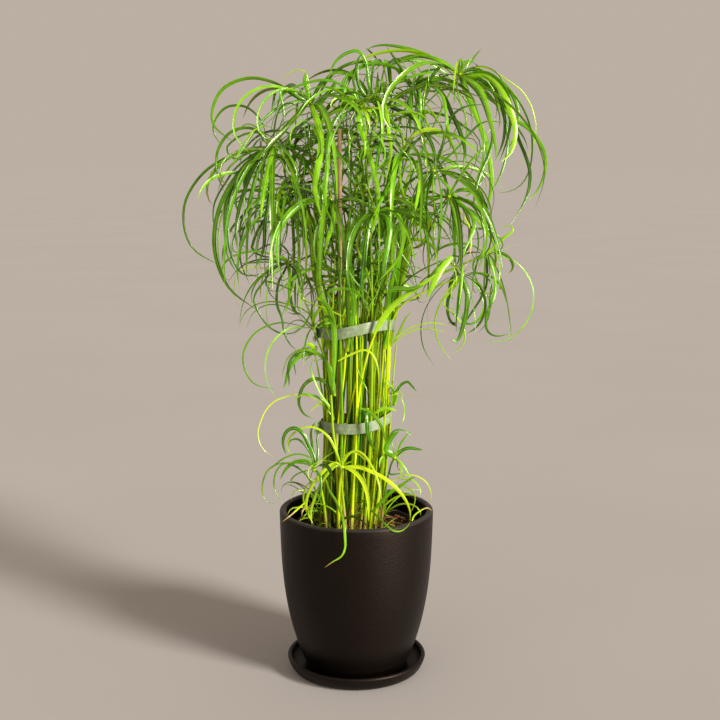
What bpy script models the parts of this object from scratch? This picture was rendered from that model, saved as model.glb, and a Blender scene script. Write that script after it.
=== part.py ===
"""Potted umbrella sedge: a tied bundle of culms with weeping crowns, in a cover pot on its saucer.

The origin is the centre of the saucer's underside, +Z is up, and a viewer in front looks along +Y.
"""

import math

import bmesh
import bpy
import numpy as np

# Driving dimensions, in metres. The cover pot's rim sets the scale of the rest.
POT_RIM_RADIUS = 0.095
POT_HEIGHT = 0.206
POT_WALL = 0.0085
POT_FLOOR = 0.010
LIP_RADIUS = 0.0034
SAUCER_RADIUS = 0.0866
SAUCER_HEIGHT = 0.0189
SAUCER_FOOT_RADIUS = 0.0754
SAUCER_FLOOR = 0.006
SAUCER_LIP = 0.0027
SAUCER_COVE = ((0.0715, SAUCER_FLOOR), (0.0772, 0.0078))
SAUCER_OUTSIDE = ((0.0845, 0.0095), (0.0800, 0.0020))
GROWER_RIM_RADIUS = 0.0755
GROWER_RIM_TOP = 0.1865
GROWER_FOOT_RADIUS = 0.052
GROWER_WALL = 0.0015
GROWER_FLOOR = 0.002
GROWER_LIP_WIDTH = 0.0025
GROWER_LIP_HEIGHT = 0.009
SOIL_TOP = 0.180
REST_GAP = 0.0003

# The bundle of culms, and what holds it
BUNDLE_RADIUS = 0.0435
BUNDLE_RINGS = ((14, 1.0), (7, 0.58), (3, 0.2))
BASE_SHIFT = -0.006
UPRIGHT_FOOT = 0.012
PAST_UPPER_TIE = 0.008
LEAST_LEAN = 0.08
MOST_LEAN = 1.1
CULM_RADIUS = 0.0024
CULM_TOP_SHARE = 0.4
LOWER_TIE = 0.307
UPPER_TIE = 0.428
UPPER_TIE_TILT = -2.5
TIE_WAIST = 0.908
TIE_WIDTH = 0.0125
TIE_THICKNESS = 0.0010
TIE_SLACK = 0.0010
CANE_FOOT = (-0.017, -0.012)
CANE_RADIUS = 0.0026
CANE_TOP = 0.667

# A crown: the hub that its bracts grow from, and the room that they keep between them
HUB_RADIUS = 0.0055
HUB_HEIGHT = 0.006
HUB_PEAK = 0.003
HUB_HALF_TURN = 22
SHORT_BRACT = 0.085
BRACT_KEEL = 0.3
STEEP = 15
SHOULDER = 0.002
ROOM = 0.0006
NEAREST_TURN = 17
HIGH_HUB = 0.63
RISE_HIGH = (5, 55)
RISE_LOW = (-25, 45)

# What the lesser bracts take at random: the swing either way, and ranges for the share of the reach,
# the bend, its early share and the width
LESSER_SWING = 25
LESSER_REACH = (0.7, 1.15)
LESSER_BEND = (80, 150)
LESSER_EARLY = (0.3, 0.8)
LESSER_WIDTH = (0.003, 0.0065)

# How far a leading bract may be moved from its own turn, swing, rise, length and bend to find room
LOOSE_TURN = 18
LOOSE_SWING = 15
LOOSE_RISE = 9
LOOSE_LENGTH = 0.06
LOOSE_BEND = 0.08
TRIES = 300

# The outline that the lesser bracts keep to
HEAD_RADIUS = 0.195
HEAD_TOP = 0.752
SKIRT_BOTTOM = 0.46
SKIRT_RADIUS = 0.115
CLEAR_OF_SOIL = 0.003
SEED = 11

POT_STEPS = 28
GROWER_STEPS = 20
TIE_STEPS = 28
CANE_SIDES = 8
CURVE_STEPS = 12

# Held by no tie, and held by the lower tie alone
LOW_CROWNS = ("front_yellow", "front_dark", "side_right")
MIDDLE_CROWNS = ("lower_left", "side_left", "middle_small")

# Each crown: its heart's place, how many bracts it has, how far its lesser ones reach, and its leading
# bracts. A bract is the turn of its root round from +X, seen from above, and the swing of that turn
# along it, then its root's rise, its length, how far it bends over in all, the share of that bend
# that comes early, and its width. Angles are in degrees.
CROWNS = (
    ("top_right", (0.120, 0.000, 0.729), 10, 0.130, (
        (25, 0, 60, 0.046, 20, 0.3, 0.0028),
        (172, 0, 51, 0.142, 80, 0.7, 0.0050),
        (-20, 15, 30, 0.150, 140, 1.0, 0.0060),
        (5, 0, 20, 0.147, 150, 0.6, 0.0060),
        (48, -40, 20, 0.180, 150, 0.5, 0.0030),
        (-45, 40, -22, 0.215, 100, 0.1, 0.0050),
        (75, -60, -25, 0.225, 95, 0.3, 0.0070),
        (-72, 30, -35, 0.155, 95, 0.2, 0.0080))),
    ("top_middle", (0.034, 0.020, 0.742), 9, 0.120, (
        (150, 0, 55, 0.035, 20, 0.5, 0.0050),
        (15, 0, 25, 0.110, 90, 0.5, 0.0050),
        (-25, 10, -30, 0.095, 50, 0.5, 0.0050),
        (185, 0, 20, 0.110, 110, 0.5, 0.0045),
        (220, 0, -30, 0.040, 20, 0.5, 0.0025))),
    ("top_dense", (0.022, 0.000, 0.699), 10, 0.130, (
        (-35, 0, 20, 0.125, 108, 0.9, 0.0045),
        (180, 0, 78, 0.092, 130, 0.2, 0.0050),
        (5, 0, 60, 0.090, 60, 0.8, 0.0050),
        (30, 0, 35, 0.100, 70, 0.7, 0.0040),
        (70, 0, 75, 0.045, 10, 0.5, 0.0055),
        (110, 0, 80, 0.045, 5, 0.5, 0.0055),
        (148, 0, 60, 0.035, 10, 0.5, 0.0055))),
    ("top_pale", (0.006, -0.022, 0.690), 7, 0.070, (
        (180, 0, 10, 0.085, 100, 0.6, 0.0032),
        (150, 0, 45, 0.050, 10, 0.5, 0.0025),
        (10, 0, 10, 0.065, 80, 0.5, 0.0030))),
    ("left_high", (-0.053, -0.012, 0.696), 9, 0.150, (
        (170, 0, 41, 0.198, 215, 0.1, 0.0050),
        (200, -10, 50, 0.163, 200, 0.4, 0.0050),
        (235, -20, -35, 0.105, 10, 0.5, 0.0080),
        (-70, 0, 10, 0.165, 100, 0.8, 0.0085))),
    ("left_weeping", (-0.097, -0.010, 0.647), 10, 0.160, (
        (145, 20, 80, 0.155, 235, 0.2, 0.0040),
        (172, 0, 80, 0.142, 200, 0.8, 0.0045),
        (200, 0, -32, 0.245, 125, 0.3, 0.0050),
        (222, 0, -28, 0.190, 65, 0.8, 0.0060),
        (247, 0, -30, 0.175, 60, 0.8, 0.0060),
        (-88, 0, -30, 0.190, 60, 0.8, 0.0065),
        (-60, 0, -20, 0.160, 70, 0.6, 0.0040))),
    ("left_inner", (-0.086, 0.030, 0.644), 9, 0.150, (
        (185, 0, 3, 0.250, 175, 0.2, 0.0050),
        (-40, 0, -20, 0.120, 60, 0.8, 0.0045),
        (-75, 0, -25, 0.140, 60, 0.8, 0.0050))),
    ("right_high", (0.069, 0.012, 0.719), 9, 0.130, (
        (-10, 0, 30, 0.095, 105, 0.5, 0.0050),
        (192, 0, 58, 0.055, 10, 0.5, 0.0045),
        (222, 0, 20, 0.095, 100, 0.6, 0.0045))),
    ("middle_right", (0.055, 0.010, 0.637), 10, 0.150, (
        (-100, 0, 20, 0.140, 105, 0.8, 0.0060),)),
    ("right_long", (0.091, -0.010, 0.618), 9, 0.150, (
        (-15, 0, -8, 0.152, 70, 1.0, 0.0045),)),
    ("right_broad", (0.108, -0.025, 0.588), 9, 0.150, (
        (-80, 0, 5, 0.125, 98, 0.9, 0.0075),
        (180, 0, 10, 0.060, 50, 0.5, 0.0030))),
    ("middle_left", (-0.030, -0.030, 0.585), 10, 0.150, (
        (-95, 0, 20, 0.165, 108, 0.8, 0.0070),
        (-140, 0, 20, 0.150, 110, 0.7, 0.0060))),
    ("right_low", (0.155, 0.000, 0.520), 8, 0.080, (
        (5, 0, 0, 0.186, 190, 0.5, 0.0042),
        (-60, 0, -35, 0.125, 50, 0.8, 0.0042),
        (32, 0, 45, 0.046, 10, 0.1, 0.0040),
        (140, 0, 60, 0.070, 200, 0.5, 0.0030),
        (235, 0, -50, 0.100, 30, 0.5, 0.0040))),
    ("right_hooked", (0.127, -0.005, 0.495), 9, 0.100, (
        (178, 0, -38, 0.140, 120, 0.3, 0.0042),
        (-105, 0, -35, 0.080, 55, 0.6, 0.0065),
        (-75, 0, -30, 0.105, 80, 0.3, 0.0040))),
    ("left_low", (-0.082, 0.000, 0.508), 8, 0.120, (
        (180, 0, -25, 0.080, 100, 0.0, 0.0032),
        (205, 0, -5, 0.110, 85, 0.6, 0.0045))),
    ("lower_left", (-0.051, -0.037, 0.436), 7, 0.080, (
        (178, 0, 25, 0.174, 220, 0.3, 0.0045),
        (205, 0, 22, 0.132, 150, 0.7, 0.0050),
        (150, 0, 50, 0.120, 130, 0.3, 0.0028))),
    ("side_left", (-0.049, -0.032, 0.405), 5, 0.050, (
        (190, 0, 30, 0.050, 80, 0.5, 0.0035),)),
    ("front_yellow", (-0.017, -0.049, 0.270), 6, 0.070, (
        (185, 0, 10, 0.101, 130, 0.7, 0.0042),
        (0, 0, 3, 0.125, 92, 0.3, 0.0050),
        (150, 0, 75, 0.084, 115, 0.0, 0.0032),
        (-30, 0, 80, 0.085, 195, 0.7, 0.0034))),
    ("front_dark", (-0.050, -0.056, 0.270), 6, 0.070, (
        (125, 0, 70, 0.049, 10, 0.4, 0.0042),
        (172, 0, 20, 0.113, 190, 0.1, 0.0040),
        (205, 0, 25, 0.052, 80, 0.5, 0.0060),
        (-62, 5, -4, 0.148, 92, 0.5, 0.0045))),
    ("side_right", (0.046, -0.034, 0.278), 6, 0.055, (
        (10, 0, 40, 0.040, 60, 0.4, 0.0042),
        (40, 0, 75, 0.044, 120, 0.0, 0.0036),
        (-20, 0, -15, 0.036, 50, 1.0, 0.0046))),
    ("middle_small", (0.047, -0.024, 0.353), 5, 0.050, (
        (5, 0, 50, 0.036, 120, 0.2, 0.0045),)),
    ("left_middle", (-0.079, 0.015, 0.581), 10, 0.160, (
        (195, 0, 10, 0.130, 100, 0.6, 0.0050),)),
    ("front_middle", (0.022, -0.052, 0.572), 10, 0.150, ()),
    ("back_middle", (0.012, 0.076, 0.655), 10, 0.160, ()),
    ("back_right", (0.082, 0.072, 0.575), 9, 0.150, ()),
    ("back_left", (-0.058, 0.074, 0.590), 9, 0.155, ()),
)

CERAMIC = ("black_ceramic", (0.012, 0.012, 0.012), 0.38)
PLASTIC = ("grower_plastic", (0.020, 0.020, 0.020), 0.5)
SOIL = ("soil", (0.070, 0.035, 0.018), 0.95)
CULM_GREEN = ("culm_green", (0.220, 0.420, 0.020), 0.45)
BRACT_GREEN = ("bract_green", (0.100, 0.300, 0.015), 0.4)
BAMBOO = ("bamboo", (0.560, 0.380, 0.200), 0.6)
TAPE = ("tie_tape", (0.300, 0.350, 0.260), 0.5)


def bract_rings(bract):
    """A short bract needs fewer cross-sections."""
    return 4 if bract[3] < SHORT_BRACT else 5


def bract_route(root, bract, rings):
    """Points along a bract whose curvature changes evenly, with its heading and turn at each."""
    turn, swing, rise, length, bend, early, _ = bract
    share = (np.arange(CURVE_STEPS * rings) + 0.5) / (CURVE_STEPS * rings)
    bent = early * (1 - (1 - share) ** 2) + (1 - early) * share ** 2
    heading = np.radians(rise - bend * bent)
    around = np.radians(turn + swing * share)
    level = np.cos(heading)
    steps = np.stack([level * np.cos(around), level * np.sin(around), np.sin(heading)], 1)
    points = np.vstack([[0, 0, 0], np.cumsum(steps, 0) * (length - HUB_RADIUS) / len(share)]) + root
    return points[::CURVE_STEPS]


def bract_section(bract, share):
    """The unit directions along a bract, across it and out of its upper face, a share of the way up."""
    turn, swing, rise, _, bend, early, _ = bract
    bent = early * (1 - (1 - share) ** 2) + (1 - early) * share ** 2
    heading = math.radians(rise - bend * bent)
    around = math.radians(turn + swing * share)
    along = np.array([
        math.cos(heading) * math.cos(around), math.cos(heading) * math.sin(around), math.sin(heading)])
    across = np.array([-math.sin(around), math.cos(around), 0])
    return along, across, np.cross(along, across)


def nearest_gaps(starts, ends, other_starts, other_ends):
    """The distance between each straight stretch of one route and each stretch of the others."""
    run = (ends - starts)[:, None]
    other_run = (other_ends - other_starts)[None]
    apart = starts[:, None] - other_starts[None]
    a = (run * run).sum(2)
    e = (other_run * other_run).sum(2)
    b = (run * other_run).sum(2)
    c = (run * apart).sum(2)
    f = (other_run * apart).sum(2)
    along = np.clip((b * f - c * e) / np.maximum(a * e - b * b, 1e-15), 0, 1)
    across = np.clip((b * along + f) / e, 0, 1)
    along = np.clip((b * across - c) / a, 0, 1)
    between = apart + run * along[..., None] - other_run * across[..., None]
    return np.linalg.norm(between, axis=2)


class Taken:
    """The room that is already grown into, as straight stretches with a radius and an owner."""

    def __init__(self):
        self.starts = np.empty((0, 3))
        self.ends = np.empty((0, 3))
        self.radii = np.empty(0)
        self.owners = np.empty(0, "U30")

    def add(self, route, radius, owner):
        self.starts = np.vstack([self.starts, route[:-1]])
        self.ends = np.vstack([self.ends, route[1:]])
        self.radii = np.concatenate([self.radii, np.full(len(route) - 1, radius)])
        self.owners = np.concatenate([self.owners, np.full(len(route) - 1, owner, "U30")])

    def room(self, route, radius, but=()):
        """How far the route stays clear of everything but some owners', less both radii."""
        others = ~np.isin(self.owners, but)
        gaps = nearest_gaps(route[:-1], route[1:], self.starts[others], self.ends[others])
        return (gaps - self.radii[others][None]).min() - radius


def ring_route(radius, height, count):
    """A closed level ring as a route."""
    turns = np.linspace(0, 2 * math.pi, count + 1)
    return np.stack([radius * np.cos(turns), radius * np.sin(turns), np.full(count + 1, height)], 1)


def bezier(start, leave, arrive, end, count):
    """Points along a curve that leaves and arrives towards two handles."""
    t = np.linspace(0, 1, count)[:, None]
    return (1 - t) ** 3 * start + 3 * t * (1 - t) * ((1 - t) * leave + t * arrive) + t ** 3 * end


def bundle_slots():
    """Places for culms in the bundle's section, on rings round its middle."""
    slots = []
    for places, share in BUNDLE_RINGS:
        for i in range(places):
            around = 2 * math.pi * (i + 0.5 * share) / places
            slots.append(BUNDLE_RADIUS * share * np.array([math.cos(around), math.sin(around)]))
    return slots


def take_nearest(slots, place):
    """Takes the slot nearest to a place off the list."""
    nearest = min(range(len(slots)), key=lambda i: math.hypot(*(slots[i] - place)))
    return slots.pop(nearest)


def culm_route(slot, name, heart, handle, lean_share, bow):
    """From the soil, through the ties that hold it, leaning out to its crown; and the direction it ends in."""
    foot = np.array([slot[0] + BASE_SHIFT, slot[1], SOIL_TOP + REST_GAP])
    held = [foot, foot + (0, 0, UPRIGHT_FOOT)]
    if name not in LOW_CROWNS:
        held.append(np.array([slot[0] * TIE_WAIST, slot[1] * TIE_WAIST, LOWER_TIE]))
    if name not in LOW_CROWNS and name not in MIDDLE_CROWNS:
        held.append(np.array([slot[0], slot[1], UPPER_TIE + PAST_UPPER_TIE]))
    last = held[-1]
    out = heart - last
    level = np.array([out[0], out[1], 0])
    across = np.linalg.norm(level)
    lean = min(lean_share * math.atan2(across, out[2]) + LEAST_LEAN, MOST_LEAN)
    tilt = level / across * math.sin(lean) + np.array([0, 0, math.cos(lean)])
    reach = handle * np.linalg.norm(out)
    side = bow * np.array([-level[1], level[0], 0]) / across
    end = heart - tilt * HUB_HEIGHT
    free = bezier(last, last + np.array([0, 0, reach]), end - tilt * reach + side, end, 5)
    return np.vstack([held[:-1], free]), tilt


def grow_culms(rng, taken):
    """A route for each crown's culm, bowed a little where that is needed to pass the others."""
    slots = bundle_slots()
    cane_slot = take_nearest(slots, np.array(CANE_FOOT))
    cane = np.array([[*cane_slot, SOIL_TOP + REST_GAP], [*cane_slot, CANE_TOP]])
    taken.add(cane, CANE_RADIUS, "cane")
    for waist, height in ((TIE_WAIST, LOWER_TIE), (1, UPPER_TIE)):
        radius = BUNDLE_RADIUS * waist + CULM_RADIUS + TIE_SLACK + TIE_THICKNESS / 2
        for lift in (-0.35, 0, 0.35):
            taken.add(ring_route(radius, height + lift * TIE_WIDTH, 48), 0.18 * TIE_WIDTH, "tie")
    taken.add(ring_route(POT_RIM_RADIUS - POT_WALL / 2, POT_HEIGHT - POT_WALL / 2, 48), POT_WALL / 2, "pot")
    for name, place, *_ in CROWNS:
        taken.add(np.array([place, place]) + [[0, 0, 0], [0, 0, HUB_PEAK]], HUB_HEIGHT + ROOM, name)
    outermost_first = sorted(CROWNS, key=lambda crown: -math.hypot(crown[1][0], crown[1][1]))
    outermost_first.sort(key=lambda crown: crown[0] not in MIDDLE_CROWNS)
    culms = {}
    for name, place, *_ in outermost_first:
        heart = np.array(place)
        aim = heart[:2]
        if name in LOW_CROWNS:
            slot = aim * (BUNDLE_RADIUS + 0.009) / math.hypot(*aim)
        elif name in MIDDLE_CROWNS:
            slot = take_nearest(slots, aim * min(1, BUNDLE_RADIUS / math.hypot(*aim)))
        else:
            slot = take_nearest(slots, aim * 0.33)
        passes = (name,) if name in LOW_CROWNS + MIDDLE_CROWNS else (name, "tie")
        best = (-1, None, None)
        for attempt in range(TRIES):
            loose = min(1, attempt / 60)
            route, tilt = culm_route(
                slot, name, heart,
                0.3 + loose * rng.uniform(-0.15, 0.2),
                1.25 + loose * rng.uniform(-0.6, 0.6),
                loose * rng.uniform(-0.03, 0.03))
            room = taken.room(route, CULM_RADIUS, passes)
            if room > best[0]:
                best = (room, route, tilt)
            if room > ROOM:
                break
        culms[name] = best[1:]
        taken.add(best[1], CULM_RADIUS, "culm_" + name)
    return cane, culms


def free_turn(turns, rng):
    """A turn that keeps away from those that are already used, if one comes up."""
    for _ in range(40):
        turn = rng.uniform(0, 360)
        if all(abs((turn - used + 180) % 360 - 180) > NEAREST_TURN for used in turns):
            break
    return turn


def lesser_bract(turns, heart, reach, rng):
    """A bract that fills a gap between the leading ones."""
    return (
        free_turn(turns, rng), rng.uniform(-LESSER_SWING, LESSER_SWING),
        rng.uniform(*(RISE_HIGH if heart[2] > HIGH_HUB else RISE_LOW)),
        reach * rng.uniform(*LESSER_REACH), rng.uniform(*LESSER_BEND), rng.uniform(*LESSER_EARLY),
        rng.uniform(*LESSER_WIDTH))


def loosened(bract, loose, rng):
    """A leading bract, turned a little to find room."""
    turn, swing, rise, length, bend, early, width = bract
    return (
        turn + loose * rng.uniform(-LOOSE_TURN, LOOSE_TURN),
        swing + loose * rng.uniform(-LOOSE_SWING, LOOSE_SWING),
        rise + loose * rng.uniform(-LOOSE_RISE, LOOSE_RISE),
        length * (1 + loose * rng.uniform(-LOOSE_LENGTH, LOOSE_LENGTH)),
        bend * (1 + loose * rng.uniform(-LOOSE_BEND, LOOSE_BEND)), early, width)


def in_outline(route, leading):
    """Whether a bract stays above the soil and, unless it is a leading one, within the plant's head."""
    away = np.hypot(route[:, 0], route[:, 1])
    height = route[:, 2]
    if ((away < POT_RIM_RADIUS) & (height < SOIL_TOP + CLEAR_OF_SOIL)).any():
        return False
    if leading:
        return True
    skirt = max(SKIRT_RADIUS, away[0] + 0.03)
    return bool((away < HEAD_RADIUS).all() and (height < HEAD_TOP).all()
                and ((height > SKIRT_BOTTOM) | (away < skirt)).all())


def grow_bract(name, heart, reach, leading, turns, rng, taken):
    """The best of many tries at one bract, with the room that it keeps."""
    best = (-9, None, None)
    for attempt in range(TRIES):
        if leading:
            bract = loosened(leading, min(1, attempt / 100), rng)
        else:
            bract = lesser_bract(turns, heart, reach, rng)
        around = math.radians(bract[0])
        root = heart + HUB_RADIUS * np.array([math.cos(around), math.sin(around), 0])
        route = bract_route(root, bract, bract_rings(bract))
        half = bract[6] / 2
        past_hub = np.array([0.7 * route[0] + 0.3 * route[1], route[1]])
        room = min(
            taken.room(route[:2], half, (name, "culm_" + name)),
            taken.room(past_hub, half, (name,)),
            taken.room(route[1:], half))
        if not in_outline(route, leading):
            room -= 1
        if any(abs((bract[0] - turn + 180) % 360 - 180) < NEAREST_TURN for turn in turns):
            room -= 1
        if room > best[0]:
            best = (room, bract, route)
        if room > ROOM:
            break
    return best


def grow_crowns(culms, rng, taken):
    """Every crown's bracts, the leading ones of all crowns first."""
    grown = {name: [] for name, *_ in CROWNS}
    for leading_ones in (True, False):
        for name, place, count, reach, leads in CROWNS:
            heart = np.array(place)
            for lead in leads if leading_ones else [None] * (count - len(leads)):
                turns = [bract[0] for bract, _ in grown[name]]
                room, bract, route = grow_bract(name, heart, reach, lead, turns, rng, taken)
                if room > REST_GAP or lead:
                    grown[name].append((bract, route))
                    taken.add(route, bract[6] / 2, name)
    return grown


def make_collection(name):
    collection = bpy.data.collections.new(name)
    bpy.context.scene.collection.children.link(collection)
    return collection


def make_material(name, colour, roughness):
    found = bpy.data.materials.get(name)
    if found:
        return found
    material = bpy.data.materials.new(name)
    material.use_nodes = True
    shader = material.node_tree.nodes["Principled BSDF"]
    shader.inputs["Base Color"].default_value = (*colour, 1)
    shader.inputs["Roughness"].default_value = roughness
    shader.inputs["Metallic"].default_value = 0
    return material


def add_object(name, data, look, collection):
    thing = bpy.data.objects.new(name, data)
    data.materials.append(make_material(*look))
    collection.objects.link(thing)
    return thing


def turned(name, profile, steps, look, collection):
    """A profile of (radius, height) points, turned round Z. It runs down the outer side."""
    shape = bmesh.new()
    points = [shape.verts.new((radius, 0, height)) for radius, height in profile]
    for before, after in zip(points, points[1:]):
        shape.edges.new((before, after))
    mesh = bpy.data.meshes.new(name)
    shape.to_mesh(mesh)
    shape.free()
    thing = add_object(name, mesh, look, collection)
    screw = thing.modifiers.new("turn", "SCREW")
    screw.steps = steps
    screw.render_steps = steps
    screw.use_merge_vertices = True
    screw.merge_threshold = 0.00001
    screw.use_smooth_shade = True
    return thing


def arc(centre, radius, start, end, count):
    """Points of a rounded corner in a profile, by angle in degrees."""
    return [
        (centre[0] + radius * math.cos(math.radians(start + (end - start) * i / count)),
         centre[1] + radius * math.sin(math.radians(start + (end - start) * i / count)))
        for i in range(count + 1)
    ]


def pot_radius(height):
    """The cover pot's outer radius: it swells quickly from the foot, then widens slowly to the rim."""
    foot = SAUCER_FLOOR + REST_GAP
    up = (height - foot) / (POT_HEIGHT - LIP_RADIUS - foot)
    return POT_RIM_RADIUS - 0.0325 + 0.0285 * (1 - (1 - up) ** 3) + 0.004 * up


def make_pot(collection):
    foot = SAUCER_FLOOR + REST_GAP
    floor = foot + POT_FLOOR
    shoulder = POT_HEIGHT - LIP_RADIUS
    inner_heights = (0.026, 0.065, 0.125)
    outer_heights = (0.150, 0.105, 0.070, 0.040, 0.018)
    inner_lip = (POT_RIM_RADIUS - POT_WALL + LIP_RADIUS, shoulder)
    outer_lip = (POT_RIM_RADIUS - LIP_RADIUS, shoulder)
    profile = [(0, floor), (pot_radius(floor) - POT_WALL - 0.004, floor)]
    profile += [(pot_radius(height) - POT_WALL, height) for height in inner_heights]
    profile += arc(inner_lip, LIP_RADIUS, 180, 90, 2)
    profile += arc(outer_lip, LIP_RADIUS, 90, 0, 3)
    profile += [(pot_radius(height), height) for height in outer_heights]
    profile += [(pot_radius(foot) + 0.0006, foot + 0.002), (pot_radius(foot) - 0.002, foot), (0, foot)]
    return turned("pot", profile, POT_STEPS, CERAMIC, collection)


def make_saucer(collection):
    lip_centre = (SAUCER_RADIUS - SAUCER_LIP, SAUCER_HEIGHT - SAUCER_LIP)
    profile = [(0, SAUCER_FLOOR), *SAUCER_COVE]
    profile += arc(lip_centre, SAUCER_LIP, 180, 0, 3)
    profile += [*SAUCER_OUTSIDE, (SAUCER_FOOT_RADIUS, 0), (0, 0)]
    return turned("saucer", profile, POT_STEPS, CERAMIC, collection)


def grower_radius(height):
    """The grower's pot tapers evenly to its foot."""
    foot = SAUCER_FLOOR + POT_FLOOR + 2 * REST_GAP
    wall_top = GROWER_RIM_RADIUS - GROWER_LIP_WIDTH
    return GROWER_FOOT_RADIUS + (wall_top - GROWER_FOOT_RADIUS) * (height - foot) / (GROWER_RIM_TOP - foot)


def make_grower_pot(collection):
    foot = SAUCER_FLOOR + POT_FLOOR + 2 * REST_GAP
    floor = foot + GROWER_FLOOR
    rim_bottom = GROWER_RIM_TOP - GROWER_LIP_HEIGHT
    profile = [
        (0, floor),
        (grower_radius(floor) - GROWER_WALL, floor),
        (grower_radius(GROWER_RIM_TOP) - GROWER_WALL, GROWER_RIM_TOP),
        (GROWER_RIM_RADIUS, GROWER_RIM_TOP),
        (GROWER_RIM_RADIUS, rim_bottom),
        (grower_radius(rim_bottom), rim_bottom),
        (grower_radius(foot), foot),
        (0, foot)]
    return turned("grower_pot", profile, GROWER_STEPS, PLASTIC, collection)


def make_soil(collection):
    bottom = SAUCER_FLOOR + POT_FLOOR + GROWER_FLOOR + 3 * REST_GAP
    clear = GROWER_WALL + 2 * REST_GAP
    profile = [
        (0, SOIL_TOP),
        (grower_radius(SOIL_TOP) - clear, SOIL_TOP),
        (grower_radius(bottom) - clear, bottom),
        (0, bottom)]
    return turned("soil", profile, GROWER_STEPS, SOIL, collection)


def make_cane(route, collection):
    length = route[1][2] - route[0][2]
    shape = bmesh.new()
    bmesh.ops.create_cone(
        shape, cap_ends=True, segments=CANE_SIDES, radius1=CANE_RADIUS, radius2=CANE_RADIUS, depth=length)
    mesh = bpy.data.meshes.new("cane")
    shape.to_mesh(mesh)
    shape.free()
    cane = add_object("cane", mesh, BAMBOO, collection)
    cane.location = (route[0] + route[1]) / 2
    return cane


def make_tie(name, waist, height, tilt, collection):
    """A band round the bundle, level or a little tilted."""
    inner = BUNDLE_RADIUS * waist + CULM_RADIUS + TIE_SLACK
    outer = inner + TIE_THICKNESS
    half = TIE_WIDTH / 2
    profile = [(inner, -half), (inner, half), (outer, half), (outer, -half), (inner, -half)]
    tie = turned(name, profile, TIE_STEPS, TAPE, collection)
    tie.location.z = height
    tie.rotation_euler.y = math.radians(tilt)
    return tie


def make_culm(name, route, collection):
    curve = bpy.data.curves.new(name, "CURVE")
    curve.dimensions = "3D"
    curve.bevel_depth = CULM_RADIUS
    curve.bevel_resolution = 0
    curve.use_fill_caps = True
    line = curve.splines.new("POLY")
    line.points.add(len(route) - 1)
    slimming = np.linspace(1, CULM_TOP_SHARE, len(route))
    for point, place, share in zip(line.points, route, slimming):
        point.co = (*place, 1)
        point.radius = share
    return add_object(name, curve, CULM_GREEN, collection)


def hub_ring(turns):
    """The hub's corners in turn order, and the side that each bract leaves from."""
    order = sorted(range(len(turns)), key=lambda i: turns[i] % 360)
    corners = []
    sides = {}
    for place, i in enumerate(order):
        here = turns[i] % 360
        following = turns[order[(place + 1) % len(order)]] % 360
        gap = (following - here) % 360 or 360
        sides[i] = len(corners) - 1
        if gap <= 2 * HUB_HALF_TURN:
            corners.append(here + gap / 2)
            continue
        corners.append(here + HUB_HALF_TURN)
        if gap > 180:
            corners.append(here + gap / 2)
        corners.append(here + gap - HUB_HALF_TURN)
    return corners, sides


def make_crown(name, heart, tilt, bracts, collection):
    """A hub with two low peaks, whose sides are drawn out along the bracts that leave from them."""
    corners, sides = hub_ring([bract[0] for bract, _ in bracts])
    shape = bmesh.new()
    bmesh.ops.create_cone(
        shape, cap_ends=True, segments=len(corners), radius1=0, radius2=HUB_RADIUS, depth=HUB_HEIGHT)
    upper = [vertex for vertex in shape.verts if vertex.co.z > 0]
    ring = sorted(upper, key=lambda vertex: math.atan2(vertex.co.y, vertex.co.x) % math.tau)
    foot = next(v for v in shape.verts if v.co.z < 0)
    cap = next(face for face in shape.faces if foot not in face.verts)
    peak = bmesh.ops.poke(shape, faces=[cap])["verts"][0]
    for vertex, corner in zip(ring, corners):
        around = math.radians(corner)
        vertex.co = heart + HUB_RADIUS * np.array([math.cos(around), math.sin(around), 0])
    foot.co = heart - tilt * (HUB_HEIGHT - 2 * REST_GAP)
    peak.co = heart + (0, 0, HUB_PEAK)
    for i, (bract, route) in enumerate(bracts):
        low, high = ring[sides[i]], ring[(sides[i] + 1) % len(ring)]
        inner = peak if bract[2] > STEEP else foot
        face = next(f for f in low.link_faces if high in f.verts and inner in f.verts)
        draw_out(shape, face, (low, high, inner), bract, route)
    mesh = bpy.data.meshes.new(name)
    shape.to_mesh(mesh)
    shape.free()
    return add_object(name, mesh, BRACT_GREEN, collection)


def draw_out(shape, face, corners, bract, route):
    """Extrudes one side of the hub along a bract, three-cornered, down to its tip."""
    width = bract[6]
    ridge = 1 if bract[2] > STEEP else -1
    places = [(i / (len(route) - 1), route[i]) for i in range(1, len(route) - 1)]
    if bract[2] < -STEEP:
        out = np.array([math.cos(math.radians(bract[0])), math.sin(math.radians(bract[0])), 0])
        places.insert(0, (0, route[0] + SHOULDER * out))
    marks = [np.array(vertex.co) for vertex in corners]
    for share, place in places:
        _, across, up = bract_section(bract, share)
        half = width * (1 - share ** 2.4) / 2
        if share == 0:
            half = min(half, HUB_RADIUS * math.sin(math.radians(NEAREST_TURN / 2)))
        targets = [
            place - across * half,
            place + across * half,
            place + ridge * up * 2 * half * BRACT_KEEL]
        face = bmesh.ops.extrude_discrete_faces(shape, faces=[face])["faces"][0]
        for vertex in face.verts:
            nearest = min(range(3), key=lambda k: np.linalg.norm(np.array(vertex.co) - marks[k]))
            vertex.co = targets[nearest]
        marks = [np.array(target) for target in targets]
    tip = bmesh.ops.poke(shape, faces=[face])["verts"][0]
    tip.co = route[-1]


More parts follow.
